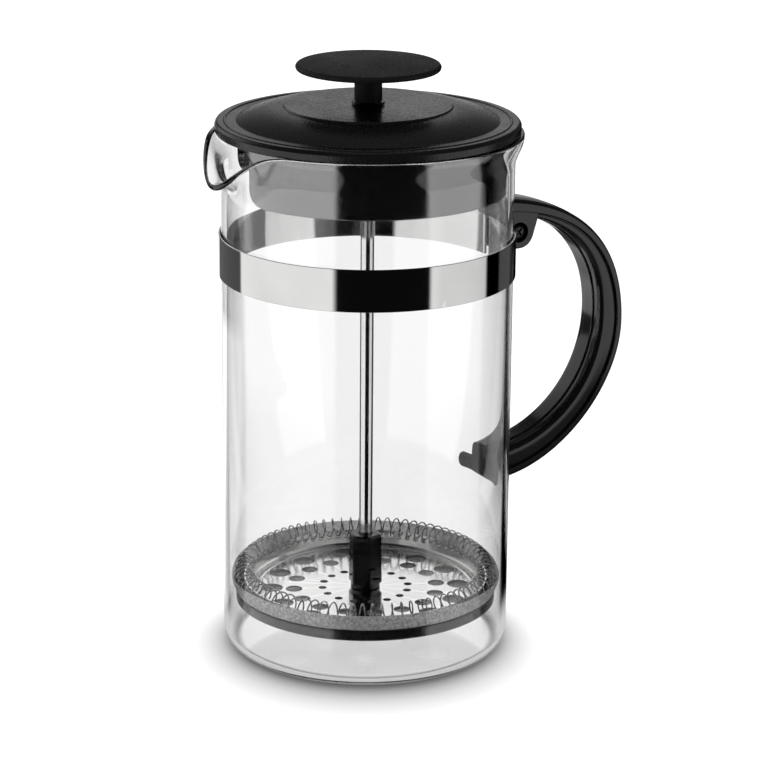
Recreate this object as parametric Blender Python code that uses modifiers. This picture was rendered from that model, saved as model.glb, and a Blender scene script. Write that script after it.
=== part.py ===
"""French press: a spouted glass beaker in a clamped steel band with a plastic handle, and a turning lid
with a plunger whose spring-edged filter is pressed right down. Metres, +Z up, origin at the middle of the
beaker's foot, handle towards +X, spout towards -X."""

import math

import bmesh
import bpy
from mathutils import Matrix, Vector

NAME = "french_press"
MM = 0.001
FIT = 0.3 * MM  # air left between two pieces that touch in the real object

# Beaker
GLASS_R = 49.25 * MM
GLASS_H = 180.0 * MM
GLASS_WALL = 2.0 * MM
CORNER_R = 5.0 * MM
FLARE = 2.9 * MM  # how far the rim turns out beyond the wall
FLARE_LOW = 169.5 * MM
FLARE_HIGH = 179.5 * MM
SPOUT_ROOT = 156.0 * MM  # height where the pulled spout leaves the wall
SPOUT_REACH = 9.2 * MM
SPOUT_DROP = 14.0 * MM
SPOUT_HALF_ANGLE = math.radians(37)
SPOUT_ROWS = 9
BEAKER_STEPS = 48

# Clamp band and its screw
BAND_LOW = 131.5 * MM
BAND_H = 14.2 * MM
BAND_T = 0.5 * MM
TAB_LOW = 135.0 * MM
TAB_H = 9.6 * MM
TAB_END = 61.0 * MM  # distance of the tabs' ends from the beaker's axis
TAB_HALF_GAP = 0.5 * MM
BAND_STEPS = 73
CLAMP_X = 56.3 * MM
CLAMP_Z = 139.8 * MM
SHANK_R = 1.9 * MM
HEAD_R = 3.3 * MM
HEAD_SEAT = 4.2 * MM
NUT_SEAT = 3.2 * MM
NUT_FLATS = 7.0 * MM

# Handle. Its two side lines are pairs of Bezier spans from head to foot, in millimetres
HANDLE_OUTER_LINE = (
    ((49.0, 153.0), (86.5, 148.6), (101.1, 128.1), (101.1, 102.2)),
    ((101.1, 102.2), (101.1, 77.7), (76.1, 51.4), (49.0, 50.4)),
)
HANDLE_INNER_LINE = (
    ((49.0, 147.0), (76.8, 143.4), (90.8, 128.3), (90.8, 106.7)),
    ((90.8, 106.7), (90.8, 83.5), (74.8, 64.7), (49.0, 62.5)),
)
HANDLE_W = 15.0 * MM
GRIP_INNER_W = 5.2 * MM
RAIL_SIDE_STEP = 0.9 * MM
RAIL_HEAD_T = 5.0 * MM
RAIL_THINNING = 2.0 * MM  # how much thinner the rail is at the grip than at the head
SLOT_HALF_W = 1.5 * MM
LUG_START = 47.0 * MM
LUG_END = 64.3 * MM  # at the lug's top. Its end face slants in below
LUG_SLANT = 3.4 * MM
LUG_LOW = 134.0 * MM
LUG_CORNER = 5.5 * MM
FINGER_HALF_ANGLE = math.radians(16.3)
FINGER_H = 5.0 * MM
FINGER_T = 3.4 * MM
FINGER_Z = 53.4 * MM

# Lid
LID_R = 51.1 * MM
LID_LOW = GLASS_H + FIT
LID_TOP = 189.1 * MM
LID_DISC_R = 28.3 * MM
LID_SLOPE_R = 44.0 * MM
LID_FLANGE_TOP = 184.1 * MM
LID_WALL = 2.0 * MM
LID_BORE_R = 4.9 * MM
SKIRT_R = 46.4 * MM
SKIRT_WALL = 1.8 * MM
SKIRT_LOW = 161.0 * MM
NOTCH_ANGLE = math.radians(158)
NOTCH_HALF_TOP = 20.3 * MM
NOTCH_HALF_LOW = 28.6 * MM
NOTCH_CORNER = 8.0 * MM

# Rod and knob
ROD_R = 2.3 * MM
ROD_BORE_R = ROD_R + FIT
BUSH_R = LID_BORE_R - FIT
KNOB_R = 24.3 * MM
KNOB_LOW = LID_TOP + 1.3 * MM
KNOB_H = 13.6 * MM
STEM_R = 4.65 * MM
INSERT_R = 3.4 * MM

# Filter, heights from the underside of its support plate
FILTER_Z = 15.8 * MM
SUPPORT_R = 45.0 * MM
SUPPORT_T = 1.0 * MM
SUPPORT_RIM_H = 3.6 * MM
MESH_T = 0.3 * MM
MESH_R = 46.6 * MM
MESH_TOP = 9.6 * MM
PLATE_T = 0.5 * MM
PLATE_FLOOR_R = 41.2 * MM
PLATE_RIM_R = 42.26 * MM
PLATE_RIM_TOP = 7.6 * MM
COIL_RING_R = 42.3 * MM
COIL_R = 3.2 * MM
COIL_Z = 9.0 * MM
COIL_TURNS = 80
WIRE_R = 0.28 * MM
HUB_R = 6.1 * MM
HUB_H = 19.4 * MM
HUB_TURN = math.radians(45)


def new_collection(name):
    collection = bpy.data.collections.new(name)
    bpy.context.scene.collection.children.link(collection)
    return collection


def new_material(name, colour, roughness, metallic=0.0, transmission=0.0):
    material = bpy.data.materials.new(name)
    material.use_nodes = True
    shader = material.node_tree.nodes["Principled BSDF"]
    shader.inputs["Base Color"].default_value = (*colour, 1.0)
    shader.inputs["Roughness"].default_value = roughness
    shader.inputs["Metallic"].default_value = metallic
    shader.inputs["Transmission Weight"].default_value = transmission
    return material


def new_object(name, mesh, collection, parent=None, location=(0, 0, 0), material=None):
    obj = bpy.data.objects.new(name, mesh)
    collection.objects.link(obj)
    obj.parent = parent
    obj.location = location
    if material:
        mesh.materials.append(material)
    return obj


def new_empty(name, collection, location):
    empty = bpy.data.objects.new(name, None)
    empty.empty_display_size = 0.02
    empty.location = location
    collection.objects.link(empty)
    return empty


def as_helper(obj):
    obj.hide_render = True
    obj.display_type = "WIRE"
    return obj


def mesh_from(bm, name):
    mesh = bpy.data.meshes.new(name)
    bm.to_mesh(mesh)
    bm.free()
    mesh.shade_smooth()
    mesh.set_sharp_from_angle(angle=math.radians(35))
    return mesh


def profile_mesh(name, points, closed):
    """Edges through (radius, height) points in the XZ plane, ready to be turned about Z."""
    bm = bmesh.new()
    verts = [bm.verts.new((radius, 0, height)) for radius, height in points]
    pairs = list(zip(verts, verts[1:]))
    if closed:
        pairs.append((verts[-1], verts[0]))
    for pair in pairs:
        bm.edges.new(pair)
    return mesh_from(bm, name)


def turn(obj, steps):
    """Turns a profile about Z. Its outer side runs from top to bottom."""
    screw = obj.modifiers.new("turn", "SCREW")
    screw.steps = screw.render_steps = steps
    screw.use_merge_vertices = True
    screw.merge_threshold = 0.01 * MM
    screw.use_smooth_shade = True
    return obj


def solidify(obj, thickness, offset=-1.0):
    shell = obj.modifiers.new("wall", "SOLIDIFY")
    shell.thickness = thickness
    shell.offset = offset
    shell.use_even_offset = True
    return obj


def boolean(obj, other, operation="DIFFERENCE"):
    modifier = obj.modifiers.new(other.name, "BOOLEAN")
    modifier.operation = operation
    modifier.solver = "EXACT"
    modifier.object = other
    return obj


def evaluated_mesh(obj):
    """The object's mesh with its modifiers applied. The object itself is removed."""
    bpy.context.view_layer.update()
    graph = bpy.context.evaluated_depsgraph_get()
    mesh = bpy.data.meshes.new_from_object(obj.evaluated_get(graph))
    bpy.data.objects.remove(obj)
    return mesh


def rods(placements, radius, depth, segments):
    """One mesh of separate cylinders along local Z, each placed by a matrix."""
    bm = bmesh.new()
    for placement in placements:
        bmesh.ops.create_cone(
            bm,
            cap_ends=True,
            segments=segments,
            radius1=radius,
            radius2=radius,
            depth=depth,
            matrix=placement,
        )
    return mesh_from(bm, "rods")


def box(size, centre):
    bm = bmesh.new()
    matrix = Matrix.Translation(centre) @ Matrix.Diagonal((*size, 1.0))
    bmesh.ops.create_cube(bm, size=1.0, matrix=matrix)
    return mesh_from(bm, "box")


def loft(rings):
    """A closed body through rings of equally many points, with flat ends."""
    bm = bmesh.new()
    loops = [[bm.verts.new(point) for point in ring] for ring in rings]
    for low, high in zip(loops, loops[1:]):
        for i in range(len(low)):
            j = (i + 1) % len(low)
            bm.faces.new((low[i], low[j], high[j], high[i]))
    bm.faces.new(reversed(loops[0]))
    bm.faces.new(loops[-1])
    bmesh.ops.recalc_face_normals(bm, faces=bm.faces)
    return mesh_from(bm, "loft")


def arc(centre, radius, start, end, count):
    """Points (x, y) along an arc, with angles in degrees."""
    angles = [math.radians(start + (end - start) * i / (count - 1)) for i in range(count)]
    return [(centre[0] + radius * math.cos(a), centre[1] + radius * math.sin(a)) for a in angles]


def bezier(points, t):
    weights = ((1 - t) ** 3, 3 * t * (1 - t) ** 2, 3 * t * t * (1 - t), t**3)
    return sum((w * Vector(p) for w, p in zip(weights, points)), Vector((0, 0)))


def turned_part(name, points, steps, collection, parent, height, material, closed=True):
    mesh = profile_mesh(name, points, closed)
    return turn(new_object(name, mesh, collection, parent, (0, 0, height), material), steps)


# ---------------------------------------------------------------- carafe


def eased(value, low, high):
    """0 below low to 1 above high, with a smooth start and end."""
    share = min(max((value - low) / (high - low), 0.0), 1.0)
    return share * share * (3 - 2 * share)


def shape_rim(mesh):
    """Flares the rim, and around -X draws it out and down into a spout instead."""
    for vertex in mesh.vertices:
        x, y, z = vertex.co
        if z <= SPOUT_ROOT:
            continue
        offset = min(abs(math.atan2(y, -x)) / SPOUT_HALF_ANGLE, 1.0)
        swell = 0.5 + 0.5 * math.cos(math.pi * offset)
        rise = (z - SPOUT_ROOT) / (GLASS_H - SPOUT_ROOT)
        flare = FLARE * (1 - swell) * eased(z, FLARE_LOW, FLARE_HIGH)
        stretch = 1 + (flare + SPOUT_REACH * swell * rise**2.4) / math.hypot(x, y)
        vertex.co = (x * stretch, y * stretch, z - SPOUT_DROP * swell**2.3 * rise**2)


def make_beaker(parts, carafe):
    glass = new_material("clear_glass", (0.95, 0.97, 0.97), 0.03, transmission=1.0)
    row_h = (GLASS_H - SPOUT_ROOT) / SPOUT_ROWS
    wall = [(GLASS_R, GLASS_H - row_h * i) for i in range(SPOUT_ROWS + 1)]
    corner = arc((GLASS_R - CORNER_R, CORNER_R), CORNER_R, 0, -90, 4)
    blank = turned_part("blank", [*wall, *corner, (0, 0)], BEAKER_STEPS, parts, None, 0, None, False)
    mesh = evaluated_mesh(blank)
    shape_rim(mesh)
    solidify(new_object("glass_beaker", mesh, parts, carafe, material=glass), GLASS_WALL)


def make_band(parts, cutters, carafe):
    """A strip round the beaker whose two ends turn out between the handle's lugs."""
    steel = new_material("polished_band_steel", (0.75, 0.75, 0.74), 0.12, 1.0)
    radius = GLASS_R + FIT
    half_gap = TAB_HALF_GAP + BAND_T
    bend = math.degrees(math.asin(half_gap / radius))
    ring = arc((0, 0), radius, bend, 360 - bend, BAND_STEPS)
    path = [(TAB_END, half_gap), *ring, (TAB_END, -half_gap)]
    bm = bmesh.new()
    verts = [bm.verts.new((x, y, BAND_LOW)) for x, y in path]
    edges = [bm.edges.new(pair) for pair in zip(verts, verts[1:])]
    made = bmesh.ops.extrude_edge_only(bm, edges=edges)["geom"]
    top = [item for item in made if isinstance(item, bmesh.types.BMVert)]
    bmesh.ops.translate(bm, verts=top, vec=(0, 0, BAND_H))
    bmesh.ops.recalc_face_normals(bm, faces=bm.faces)
    band = new_object("clamp_band", mesh_from(bm, "clamp_band"), parts, carafe, material=steel)
    solidify(band, BAND_T, 1.0 if outward(band.data) else -1.0)
    trim_start = GLASS_R + 2.5 * MM
    trim = (20 * MM, 10 * MM, 10 * MM)
    trim_x = trim_start + trim[0] / 2
    trim_heights = {
        "tab_trim_low": TAB_LOW - trim[2] / 2,
        "tab_trim_high": TAB_LOW + TAB_H + trim[2] / 2,
    }
    for name, height in trim_heights.items():
        cutter = new_object(name, box(trim, (trim_x, 0, height)), cutters)
        boolean(band, as_helper(cutter))
    holes = rods([across_clamp()], SHANK_R + 2 * FIT, 8 * MM, 16)
    boolean(band, as_helper(new_object("tab_holes", holes, cutters)))


def across_clamp(y=0.0):
    """The placement of a cylinder along the clamp screw."""
    return Matrix.Translation((CLAMP_X, y, CLAMP_Z)) @ Matrix.Rotation(math.pi / 2, 4, "X")


def outward(mesh):
    """Whether a strip's faces point away from the Z axis."""
    total = sum(face.normal.xy.dot(face.center.xy) * face.area for face in mesh.polygons)
    return total > 0


def grip_section(outer, inner, rail):
    """One cross-section of the handle, from its outer rail to its rounded inner side."""
    inward = (inner - outer).normalized()
    depth = (inner - outer).length
    half = HANDLE_W / 2
    body = half - RAIL_SIDE_STEP
    tip = GRIP_INNER_W / 2
    side = [
        (0.0, 0.0),
        (0.55 * half, 0.25 * MM),
        (0.9 * half, 0.9 * MM),
        (half, 1.9 * MM),
        (half, rail),
        (body, rail + 0.35 * MM),
        (body + 0.1 * MM, rail + 0.3 * (depth - rail)),
        (0.5 * body + 0.5 * tip, depth - 0.28 * (depth - rail)),
        (tip, depth - 0.05 * (depth - rail)),
        (0.0, depth),
    ]
    mirrored = [(-y, h) for y, h in reversed(side[1:-1])]
    return [Vector((*(outer + h * inward), y)).xzy for y, h in side + mirrored]


def handle_limb():
    """The C-shaped limb: a rail with a swelling grip inside it, from the head to the foot."""
    steps = 10
    thin_from = 0.6  # share of the limb's length where the rail is thinnest
    rings = []
    for i in range(2 * steps + 1):
        span = min(i // steps, 1)
        t = i / steps - span
        along = i / (2 * steps)
        outer = bezier(HANDLE_OUTER_LINE[span], t) * MM
        inner = bezier(HANDLE_INNER_LINE[span], t) * MM
        thinning = RAIL_THINNING * math.sin(math.pi / 2 * min(along / thin_from, 1.0))
        rings.append(grip_section(outer, inner, RAIL_HEAD_T - thinning))
    return loft(rings)


def lug_block():
    """The block under the rail that the slot parts into two lugs, with a round lower corner."""
    top = 148 * MM
    low_end = LUG_END - LUG_SLANT
    outline = [(LUG_START, top + 1 * MM), (LUG_START, LUG_LOW)]
    outline += arc((low_end - LUG_CORNER, LUG_LOW + LUG_CORNER), LUG_CORNER, -90, 0, 6)
    outline += [(LUG_END, top - 3 * MM), (LUG_END + 0.8 * MM, top)]
    half = HANDLE_W / 2 - 0.4 * MM
    return loft([[Vector((x, y, z)) for x, z in outline] for y in (-half, half)])


def foot_fingers():
    """A rounded bar that follows the beaker's wall to both sides of the handle's foot."""
    centre_r = GLASS_R + FIT + 0.8 * MM
    end_scale = 0.12
    count = 12
    sides = 10
    rings = []
    for i in range(count + 1):
        lean = math.pi * (i / count - 0.5)
        turn_angle = FINGER_HALF_ANGLE * math.sin(lean)
        taper = min(2.2 * max(math.cos(lean), 0.0), 1.0)
        scale = end_scale + (1 - end_scale) * taper**0.6
        ring = []
        for a in range(sides):
            angle = 2 * math.pi * a / sides
            radius = centre_r + scale * FINGER_T / 2 * math.cos(angle)
            height = FINGER_Z + scale * FINGER_H / 2 * math.sin(angle)
            ring.append(Vector((radius * math.cos(turn_angle), radius * math.sin(turn_angle), height)))
        rings.append(ring)
    return loft(rings)


def make_handle(parts, cutters, carafe):
    plastic = new_material("gloss_black_plastic", (0.012, 0.012, 0.013), 0.18)
    handle = new_object("handle", handle_limb(), parts, carafe, material=plastic)
    for name, mesh in (("lug_block", lug_block()), ("foot_fingers", foot_fingers())):
        boolean(handle, as_helper(new_object(name, mesh, cutters)), "UNION")
    tall = 60 * MM
    deep = 10 * MM
    band_r = GLASS_R + BAND_T + 3 * FIT
    nut_r = hex_radius(NUT_FLATS + 2 * FIT)
    slot = (20 * MM, 2 * SLOT_HALF_W, 20 * MM)
    cuts = {
        "saddle_high": rods([Matrix.Translation((0, 0, 145 * MM))], band_r, tall, 96),
        "saddle_low": rods([Matrix.Translation((0, 0, 60 * MM))], GLASS_R + FIT, tall, 96),
        "lug_slot": box(slot, (55 * MM, 0, 136 * MM)),
        "clamp_bore": rods([across_clamp()], SHANK_R + FIT, 2 * HANDLE_W, 16),
        "head_pocket": rods([across_clamp(-HEAD_SEAT - deep / 2)], HEAD_R + FIT, deep, 20),
        "nut_pocket": rods([across_clamp(NUT_SEAT + deep / 2)], nut_r, deep, 6),
    }
    for name, mesh in cuts.items():
        boolean(handle, as_helper(new_object(name, mesh, cutters)))


def hex_radius(flats):
    return flats / 2 / math.cos(math.pi / 6)


def make_clamp_screw(parts, carafe):
    """A round-headed screw along Y, its head to the -Y side."""
    steel = new_material("zinc_screw_steel", (0.6, 0.6, 0.58), 0.3, 1.0)
    head_h = 2.2 * MM
    length = HEAD_SEAT + FIT + 7.0 * MM
    points = [
        (0, head_h),
        (0.6 * HEAD_R, head_h),
        (HEAD_R, 0.5 * head_h),
        (HEAD_R, 0),
        (SHANK_R, 0),
        (SHANK_R, 0.4 * MM - length),
        (SHANK_R - 0.4 * MM, -length),
        (0, -length),
    ]
    screw = turned_part("clamp_screw", points, 20, parts, carafe, 0, steel, False)
    screw.location = (CLAMP_X, -HEAD_SEAT - FIT, CLAMP_Z)
    screw.rotation_euler = (math.pi / 2, 0, 0)


def make_washer_and_nut(parts, cutters, carafe):
    steel = new_material("zinc_nut_steel", (0.58, 0.58, 0.56), 0.35, 1.0)
    bore_r = SHANK_R + FIT
    washer_t = 0.6 * MM
    washer_y = NUT_SEAT + FIT
    ring = [(NUT_FLATS / 2, washer_t), (NUT_FLATS / 2, 0), (bore_r, 0), (bore_r, washer_t)]
    washer = turned_part("clamp_washer", ring, 20, parts, carafe, 0, steel)
    washer.location = (CLAMP_X, washer_y, CLAMP_Z)
    washer.rotation_euler = (-math.pi / 2, 0, 0)
    nut_t = 2.6 * MM
    mesh = rods([Matrix()], hex_radius(NUT_FLATS), nut_t, 6)
    location = (CLAMP_X, washer_y + washer_t + FIT + nut_t / 2, CLAMP_Z)
    nut = new_object("clamp_nut", mesh, parts, carafe, location, steel)
    nut.rotation_euler = (math.pi / 2, 0, 0)
    cutter = new_object("nut_bore", rods([Matrix()], bore_r, 2 * nut_t, 16), cutters, carafe, location)
    cutter.rotation_euler = nut.rotation_euler
    boolean(nut, as_helper(cutter))


# ---------------------------------------------------------------- lid


def make_lid_cover(parts, lid):
    """A raised disc, a rounded slope and a flat flange, hollow underneath."""
    plastic = new_material("matte_black_plastic", (0.02, 0.02, 0.02), 0.55)
    top = LID_TOP - LID_LOW
    flange = LID_FLANGE_TOP - LID_LOW
    run = LID_SLOPE_R - LID_DISC_R
    fall = top - 0.5 * MM - flange
    shares = (0.03, 0.3, 0.55, 0.8, 1)
    slope = [(LID_DISC_R + run * u, flange + fall * (1 - u**1.6)) for u in shares]
    edge = [
        (LID_R - 0.9 * MM, flange - 0.5 * MM),
        (LID_R - 0.1 * MM, flange - 1.2 * MM),
        (LID_R, flange - 2.2 * MM),
        (LID_R - 0.3 * MM, 0.2 * MM),
        (LID_R - 0.8 * MM, 0),
    ]
    hollow_r = SKIRT_R - 4.2 * MM
    under = [
        (hollow_r, 0),
        (hollow_r - 1.0 * MM, flange - LID_WALL),
        (0.5 * (LID_DISC_R + hollow_r), 0.5 * (flange + top) - 1.2 * LID_WALL),
        (LID_DISC_R - 1.0 * MM, top - LID_WALL),
        (LID_BORE_R, top - LID_WALL),
    ]
    outer = [(LID_BORE_R, top), (LID_DISC_R - 0.4 * MM, top), *slope, *edge]
    turned_part("lid_cover", outer + under, 48, parts, lid, 0, plastic)


def notch_outline():
    """Half-widths of the pouring notch against height, flared at the skirt's round lower corners."""
    height = GLASS_H - 2.2 * MM - SKIRT_LOW
    flare = NOTCH_HALF_LOW - NOTCH_HALF_TOP
    chamfer = 3 * MM
    steps = 4
    side = [
        (NOTCH_HALF_TOP - chamfer, height),
        (NOTCH_HALF_TOP, height - chamfer),
        (NOTCH_HALF_TOP, NOTCH_CORNER),
    ]
    for i in range(1, steps + 1):
        fall = i / steps
        half = NOTCH_HALF_TOP + flare * (1 - math.sqrt(1 - fall**2))
        side.append((half, NOTCH_CORNER * (1 - fall)))
    side.append((NOTCH_HALF_LOW, -5 * MM))
    return side + [(-half, z) for half, z in reversed(side)]


def make_lid_skirt(parts, cutters, lid):
    """The ring that hangs inside the beaker's mouth, open for pouring over part of its round."""
    plastic = new_material("skirt_black_plastic", (0.014, 0.014, 0.015), 0.2)
    low = SKIRT_LOW - LID_LOW
    high = -FIT
    lip_r = SKIRT_R - SKIRT_WALL - 2.0 * MM
    points = [
        (SKIRT_R, high),
        (SKIRT_R, low + 0.4 * MM),
        (SKIRT_R - 0.4 * MM, low),
        (SKIRT_R - SKIRT_WALL + 0.4 * MM, low),
        (SKIRT_R - SKIRT_WALL, low + 0.4 * MM),
        (SKIRT_R - SKIRT_WALL, high - 1.8 * MM),
        (lip_r, high - 1.5 * MM),
        (lip_r, high),
    ]
    skirt = turned_part("lid_skirt", points, 48, parts, lid, 0, plastic)
    near, far = 25 * MM, 60 * MM
    outline = notch_outline()
    mesh = loft([[Vector((x, y, SKIRT_LOW - LID_LOW + z)) for y, z in outline] for x in (near, far)])
    cutter = as_helper(new_object("pouring_notch", mesh, cutters, lid))
    cutter.rotation_euler = (0, 0, NOTCH_ANGLE)
    boolean(skirt, cutter)


def make_rod_bush(parts, guide):
    """The flanged bush in the lid's middle. The rod slides in it and the lid turns round it."""
    steel = new_material("bush_steel", (0.55, 0.55, 0.54), 0.25, 1.0)
    flange_r = BUSH_R + 0.9 * MM
    length = 9.5 * MM
    groove_top = -LID_WALL - 2 * FIT
    groove_h = 1.3 * MM
    groove_r = BUSH_R - 0.8 * MM
    points = [
        (flange_r - 0.2 * MM, FIT + 0.7 * MM),
        (flange_r, FIT + 0.5 * MM),
        (flange_r, FIT),
        (BUSH_R, FIT),
        (BUSH_R, groove_top),
        (groove_r, groove_top),
        (groove_r, groove_top - groove_h),
        (BUSH_R, groove_top - groove_h),
        (BUSH_R, -length),
        (ROD_BORE_R, -length),
        (ROD_BORE_R, FIT + 0.7 * MM),
    ]
    turned_part("rod_bush", points, 24, parts, guide, 0, steel)
    return groove_top, groove_h, groove_r


def make_bush_clip(parts, cutters, guide, groove):
    """An open ring in the bush's groove, under the lid."""
    steel = new_material("spring_clip_steel", (0.35, 0.35, 0.35), 0.35, 1.0)
    groove_top, groove_h, groove_r = groove
    high = groove_top - FIT
    low = groove_top - groove_h + FIT
    inner_r, outer_r = groove_r + FIT, BUSH_R + 1.6 * MM
    ring = [(outer_r, high), (outer_r, low), (inner_r, low), (inner_r, high)]
    clip = turned_part("bush_clip", ring, 24, parts, guide, 0, steel)
    gap = box((10 * MM, 5 * MM, 6 * MM), (-6 * MM, 0, high))
    boolean(clip, as_helper(new_object("clip_gap", gap, cutters, guide)))


# ---------------------------------------------------------------- plunger


def make_knob(parts, plunger):
    """A broad thin disc on a stem, bored from below for its threaded insert."""
    plastic = new_material("knob_black_plastic", (0.02, 0.02, 0.02), 0.5)
    rim_low = KNOB_H - 3.1 * MM
    bore_r = INSERT_R + FIT
    bore_h = 7.6 * MM
    points = [
        (0, KNOB_H),
        (0.45 * KNOB_R, KNOB_H - 0.25 * MM),
        (0.86 * KNOB_R, KNOB_H - 0.85 * MM),
        (KNOB_R - 0.6 * MM, KNOB_H - 1.2 * MM),
        (KNOB_R, KNOB_H - 1.9 * MM),
        (KNOB_R - 0.1 * MM, rim_low + 0.4 * MM),
        (KNOB_R - 0.7 * MM, rim_low),
        (0.5 * KNOB_R, rim_low - 0.5 * MM),
        (STEM_R + 2.2 * MM, rim_low - 0.9 * MM),
        (STEM_R + 0.5 * MM, rim_low - 1.8 * MM),
        (STEM_R, rim_low - 3.0 * MM),
        (STEM_R, 0.3 * MM),
        (STEM_R - 0.3 * MM, 0),
        (bore_r, 0),
        (bore_r, bore_h),
        (0, bore_h),
    ]
    turned_part("plunger_knob", points, 36, parts, plunger, KNOB_LOW, plastic, False)


def make_insert(name, parts, plunger, height, length, material):
    """A brass sleeve that carries the rod's thread."""
    points = [(INSERT_R, length), (INSERT_R, 0), (ROD_BORE_R, 0), (ROD_BORE_R, length)]
    turned_part(name, points, 16, parts, plunger, height, material)


def make_rod(parts, plunger):
    steel = new_material("polished_rod_steel", (0.78, 0.78, 0.77), 0.08, 1.0)
    low = FILTER_Z - 3.0 * MM
    high = KNOB_LOW + 7.3 * MM
    length = high - low
    chamfer = 0.4 * MM
    points = [
        (0, length),
        (ROD_R - chamfer, length),
        (ROD_R, length - chamfer),
        (ROD_R, chamfer),
        (ROD_R - chamfer, 0),
        (0, 0),
    ]
    turned_part("plunger_rod", points, 20, parts, plunger, low, steel, False)


def plate_levels():
    """Heights of the undersides of the mesh and of the spring plate, and of the spring plate's top."""
    mesh_low = SUPPORT_T + FIT
    plate_low = mesh_low + MESH_T + FIT
    return mesh_low, plate_low, plate_low + PLATE_T


def make_hub(parts, cutters, plunger):
    """A hexagonal boss on a short round neck, bored for its insert and for the rod."""
    plastic = new_material("hub_black_plastic", (0.015, 0.015, 0.016), 0.3)
    base = FILTER_Z + plate_levels()[2] + FIT
    neck_h = 1.4 * MM
    hex_h = HUB_H - neck_h
    bm = bmesh.new()
    bmesh.ops.create_cone(
        bm,
        cap_ends=True,
        segments=6,
        radius1=HUB_R,
        radius2=HUB_R - 0.3 * MM,
        depth=hex_h,
        matrix=Matrix.Translation((0, 0, neck_h + hex_h / 2)) @ Matrix.Rotation(HUB_TURN, 4, "Z"),
    )
    hub = new_object("filter_hub", mesh_from(bm, "filter_hub"), parts, plunger, (0, 0, base), plastic)
    rounding = hub.modifiers.new("rounding", "BEVEL")
    rounding.width = 0.8 * MM
    rounding.segments = 2
    neck = rods([Matrix.Translation((0, 0, neck_h))], HUB_R - 1.0 * MM, 2 * neck_h, 24)
    boolean(hub, as_helper(new_object("hub_neck", neck, cutters, plunger, (0, 0, base))), "UNION")
    insert_h = 14.0 * MM
    bores = {"hub_rod_bore": (ROD_BORE_R, 3 * HUB_H), "hub_insert_bore": (INSERT_R + FIT, 2 * insert_h)}
    for name, (radius, depth) in bores.items():
        mesh = rods([Matrix()], radius, depth, 24)
        boolean(hub, as_helper(new_object(name, mesh, cutters, plunger, (0, 0, base))))
    brass = new_material("insert_brass", (0.62, 0.46, 0.2), 0.3, 1.0)
    make_insert("hub_insert", parts, plunger, base + FIT, insert_h - 2 * FIT, brass)
    make_insert("knob_insert", parts, plunger, KNOB_LOW + FIT, 7.0 * MM, brass)


def ring_of_places(count, radius, start=0.0):
    """Upright placements spread evenly round a circle."""
    step = 2 * math.pi / count
    offset = Matrix.Translation((radius, 0, 0))
    return [Matrix.Rotation(start + i * step, 4, "Z") @ offset for i in range(count)]


def make_support_plate(parts, cutters, plunger):
    """The dished plastic plate under the mesh, with drain windows and an upstanding rim."""
    plastic = new_material("support_black_plastic", (0.015, 0.015, 0.016), 0.35)
    rim_inner = SUPPORT_R - 1.6 * MM
    points = [
        (SUPPORT_R, SUPPORT_RIM_H),
        (SUPPORT_R, 0.4 * MM),
        (SUPPORT_R - 0.4 * MM, 0),
        (ROD_BORE_R, 0),
        (ROD_BORE_R, SUPPORT_T),
        (rim_inner - 0.3 * MM, SUPPORT_T),
        (rim_inner, SUPPORT_RIM_H),
    ]
    plate = turned_part("support_plate", points, 48, parts, plunger, FILTER_Z, plastic)
    windows = rods(ring_of_places(8, 27 * MM), 7.5 * MM, 10 * MM, 12)
    boolean(plate, as_helper(new_object("drain_windows", windows, cutters, plunger, (0, 0, FILTER_Z))))


def make_mesh_disc(parts, plunger):
    """The woven filter: flat in the middle, over the support plate's rim, and up outside the coil."""
    wire = new_material("woven_mesh_steel", (0.6, 0.6, 0.6), 0.35, 1.0)
    low = plate_levels()[0]
    over = SUPPORT_RIM_H + FIT
    fold_r = SUPPORT_R - 2.4 * MM
    points = [
        (MESH_R, MESH_TOP),
        (MESH_R - 0.25 * MM, MESH_TOP - 1.8 * MM),
        (SUPPORT_R + 0.35 * MM, over + 0.8 * MM),
        (SUPPORT_R - 0.1 * MM, over),
        (fold_r + 0.3 * MM, over),
        (fold_r, over - 0.8 * MM),
        (fold_r - 0.3 * MM, low),
        (ROD_BORE_R, low),
    ]
    disc = turned_part("mesh_disc", points, 48, parts, plunger, FILTER_Z, wire, False)
    solidify(disc, MESH_T)


def coil_hole_angle():
    """Angle on the coil's circle, from outwards, where the wire passes the spring plate's rim."""
    low = plate_levels()[1]
    lean = (PLATE_RIM_R - PLATE_FLOOR_R) / (PLATE_RIM_TOP - low)
    angle = -math.pi / 2
    for _ in range(20):
        radius = PLATE_FLOOR_R - PLATE_T / 2 + lean * (COIL_Z + COIL_R * math.sin(angle) - low)
        angle = -math.acos((radius - COIL_RING_R) / COIL_R)
    return angle


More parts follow.
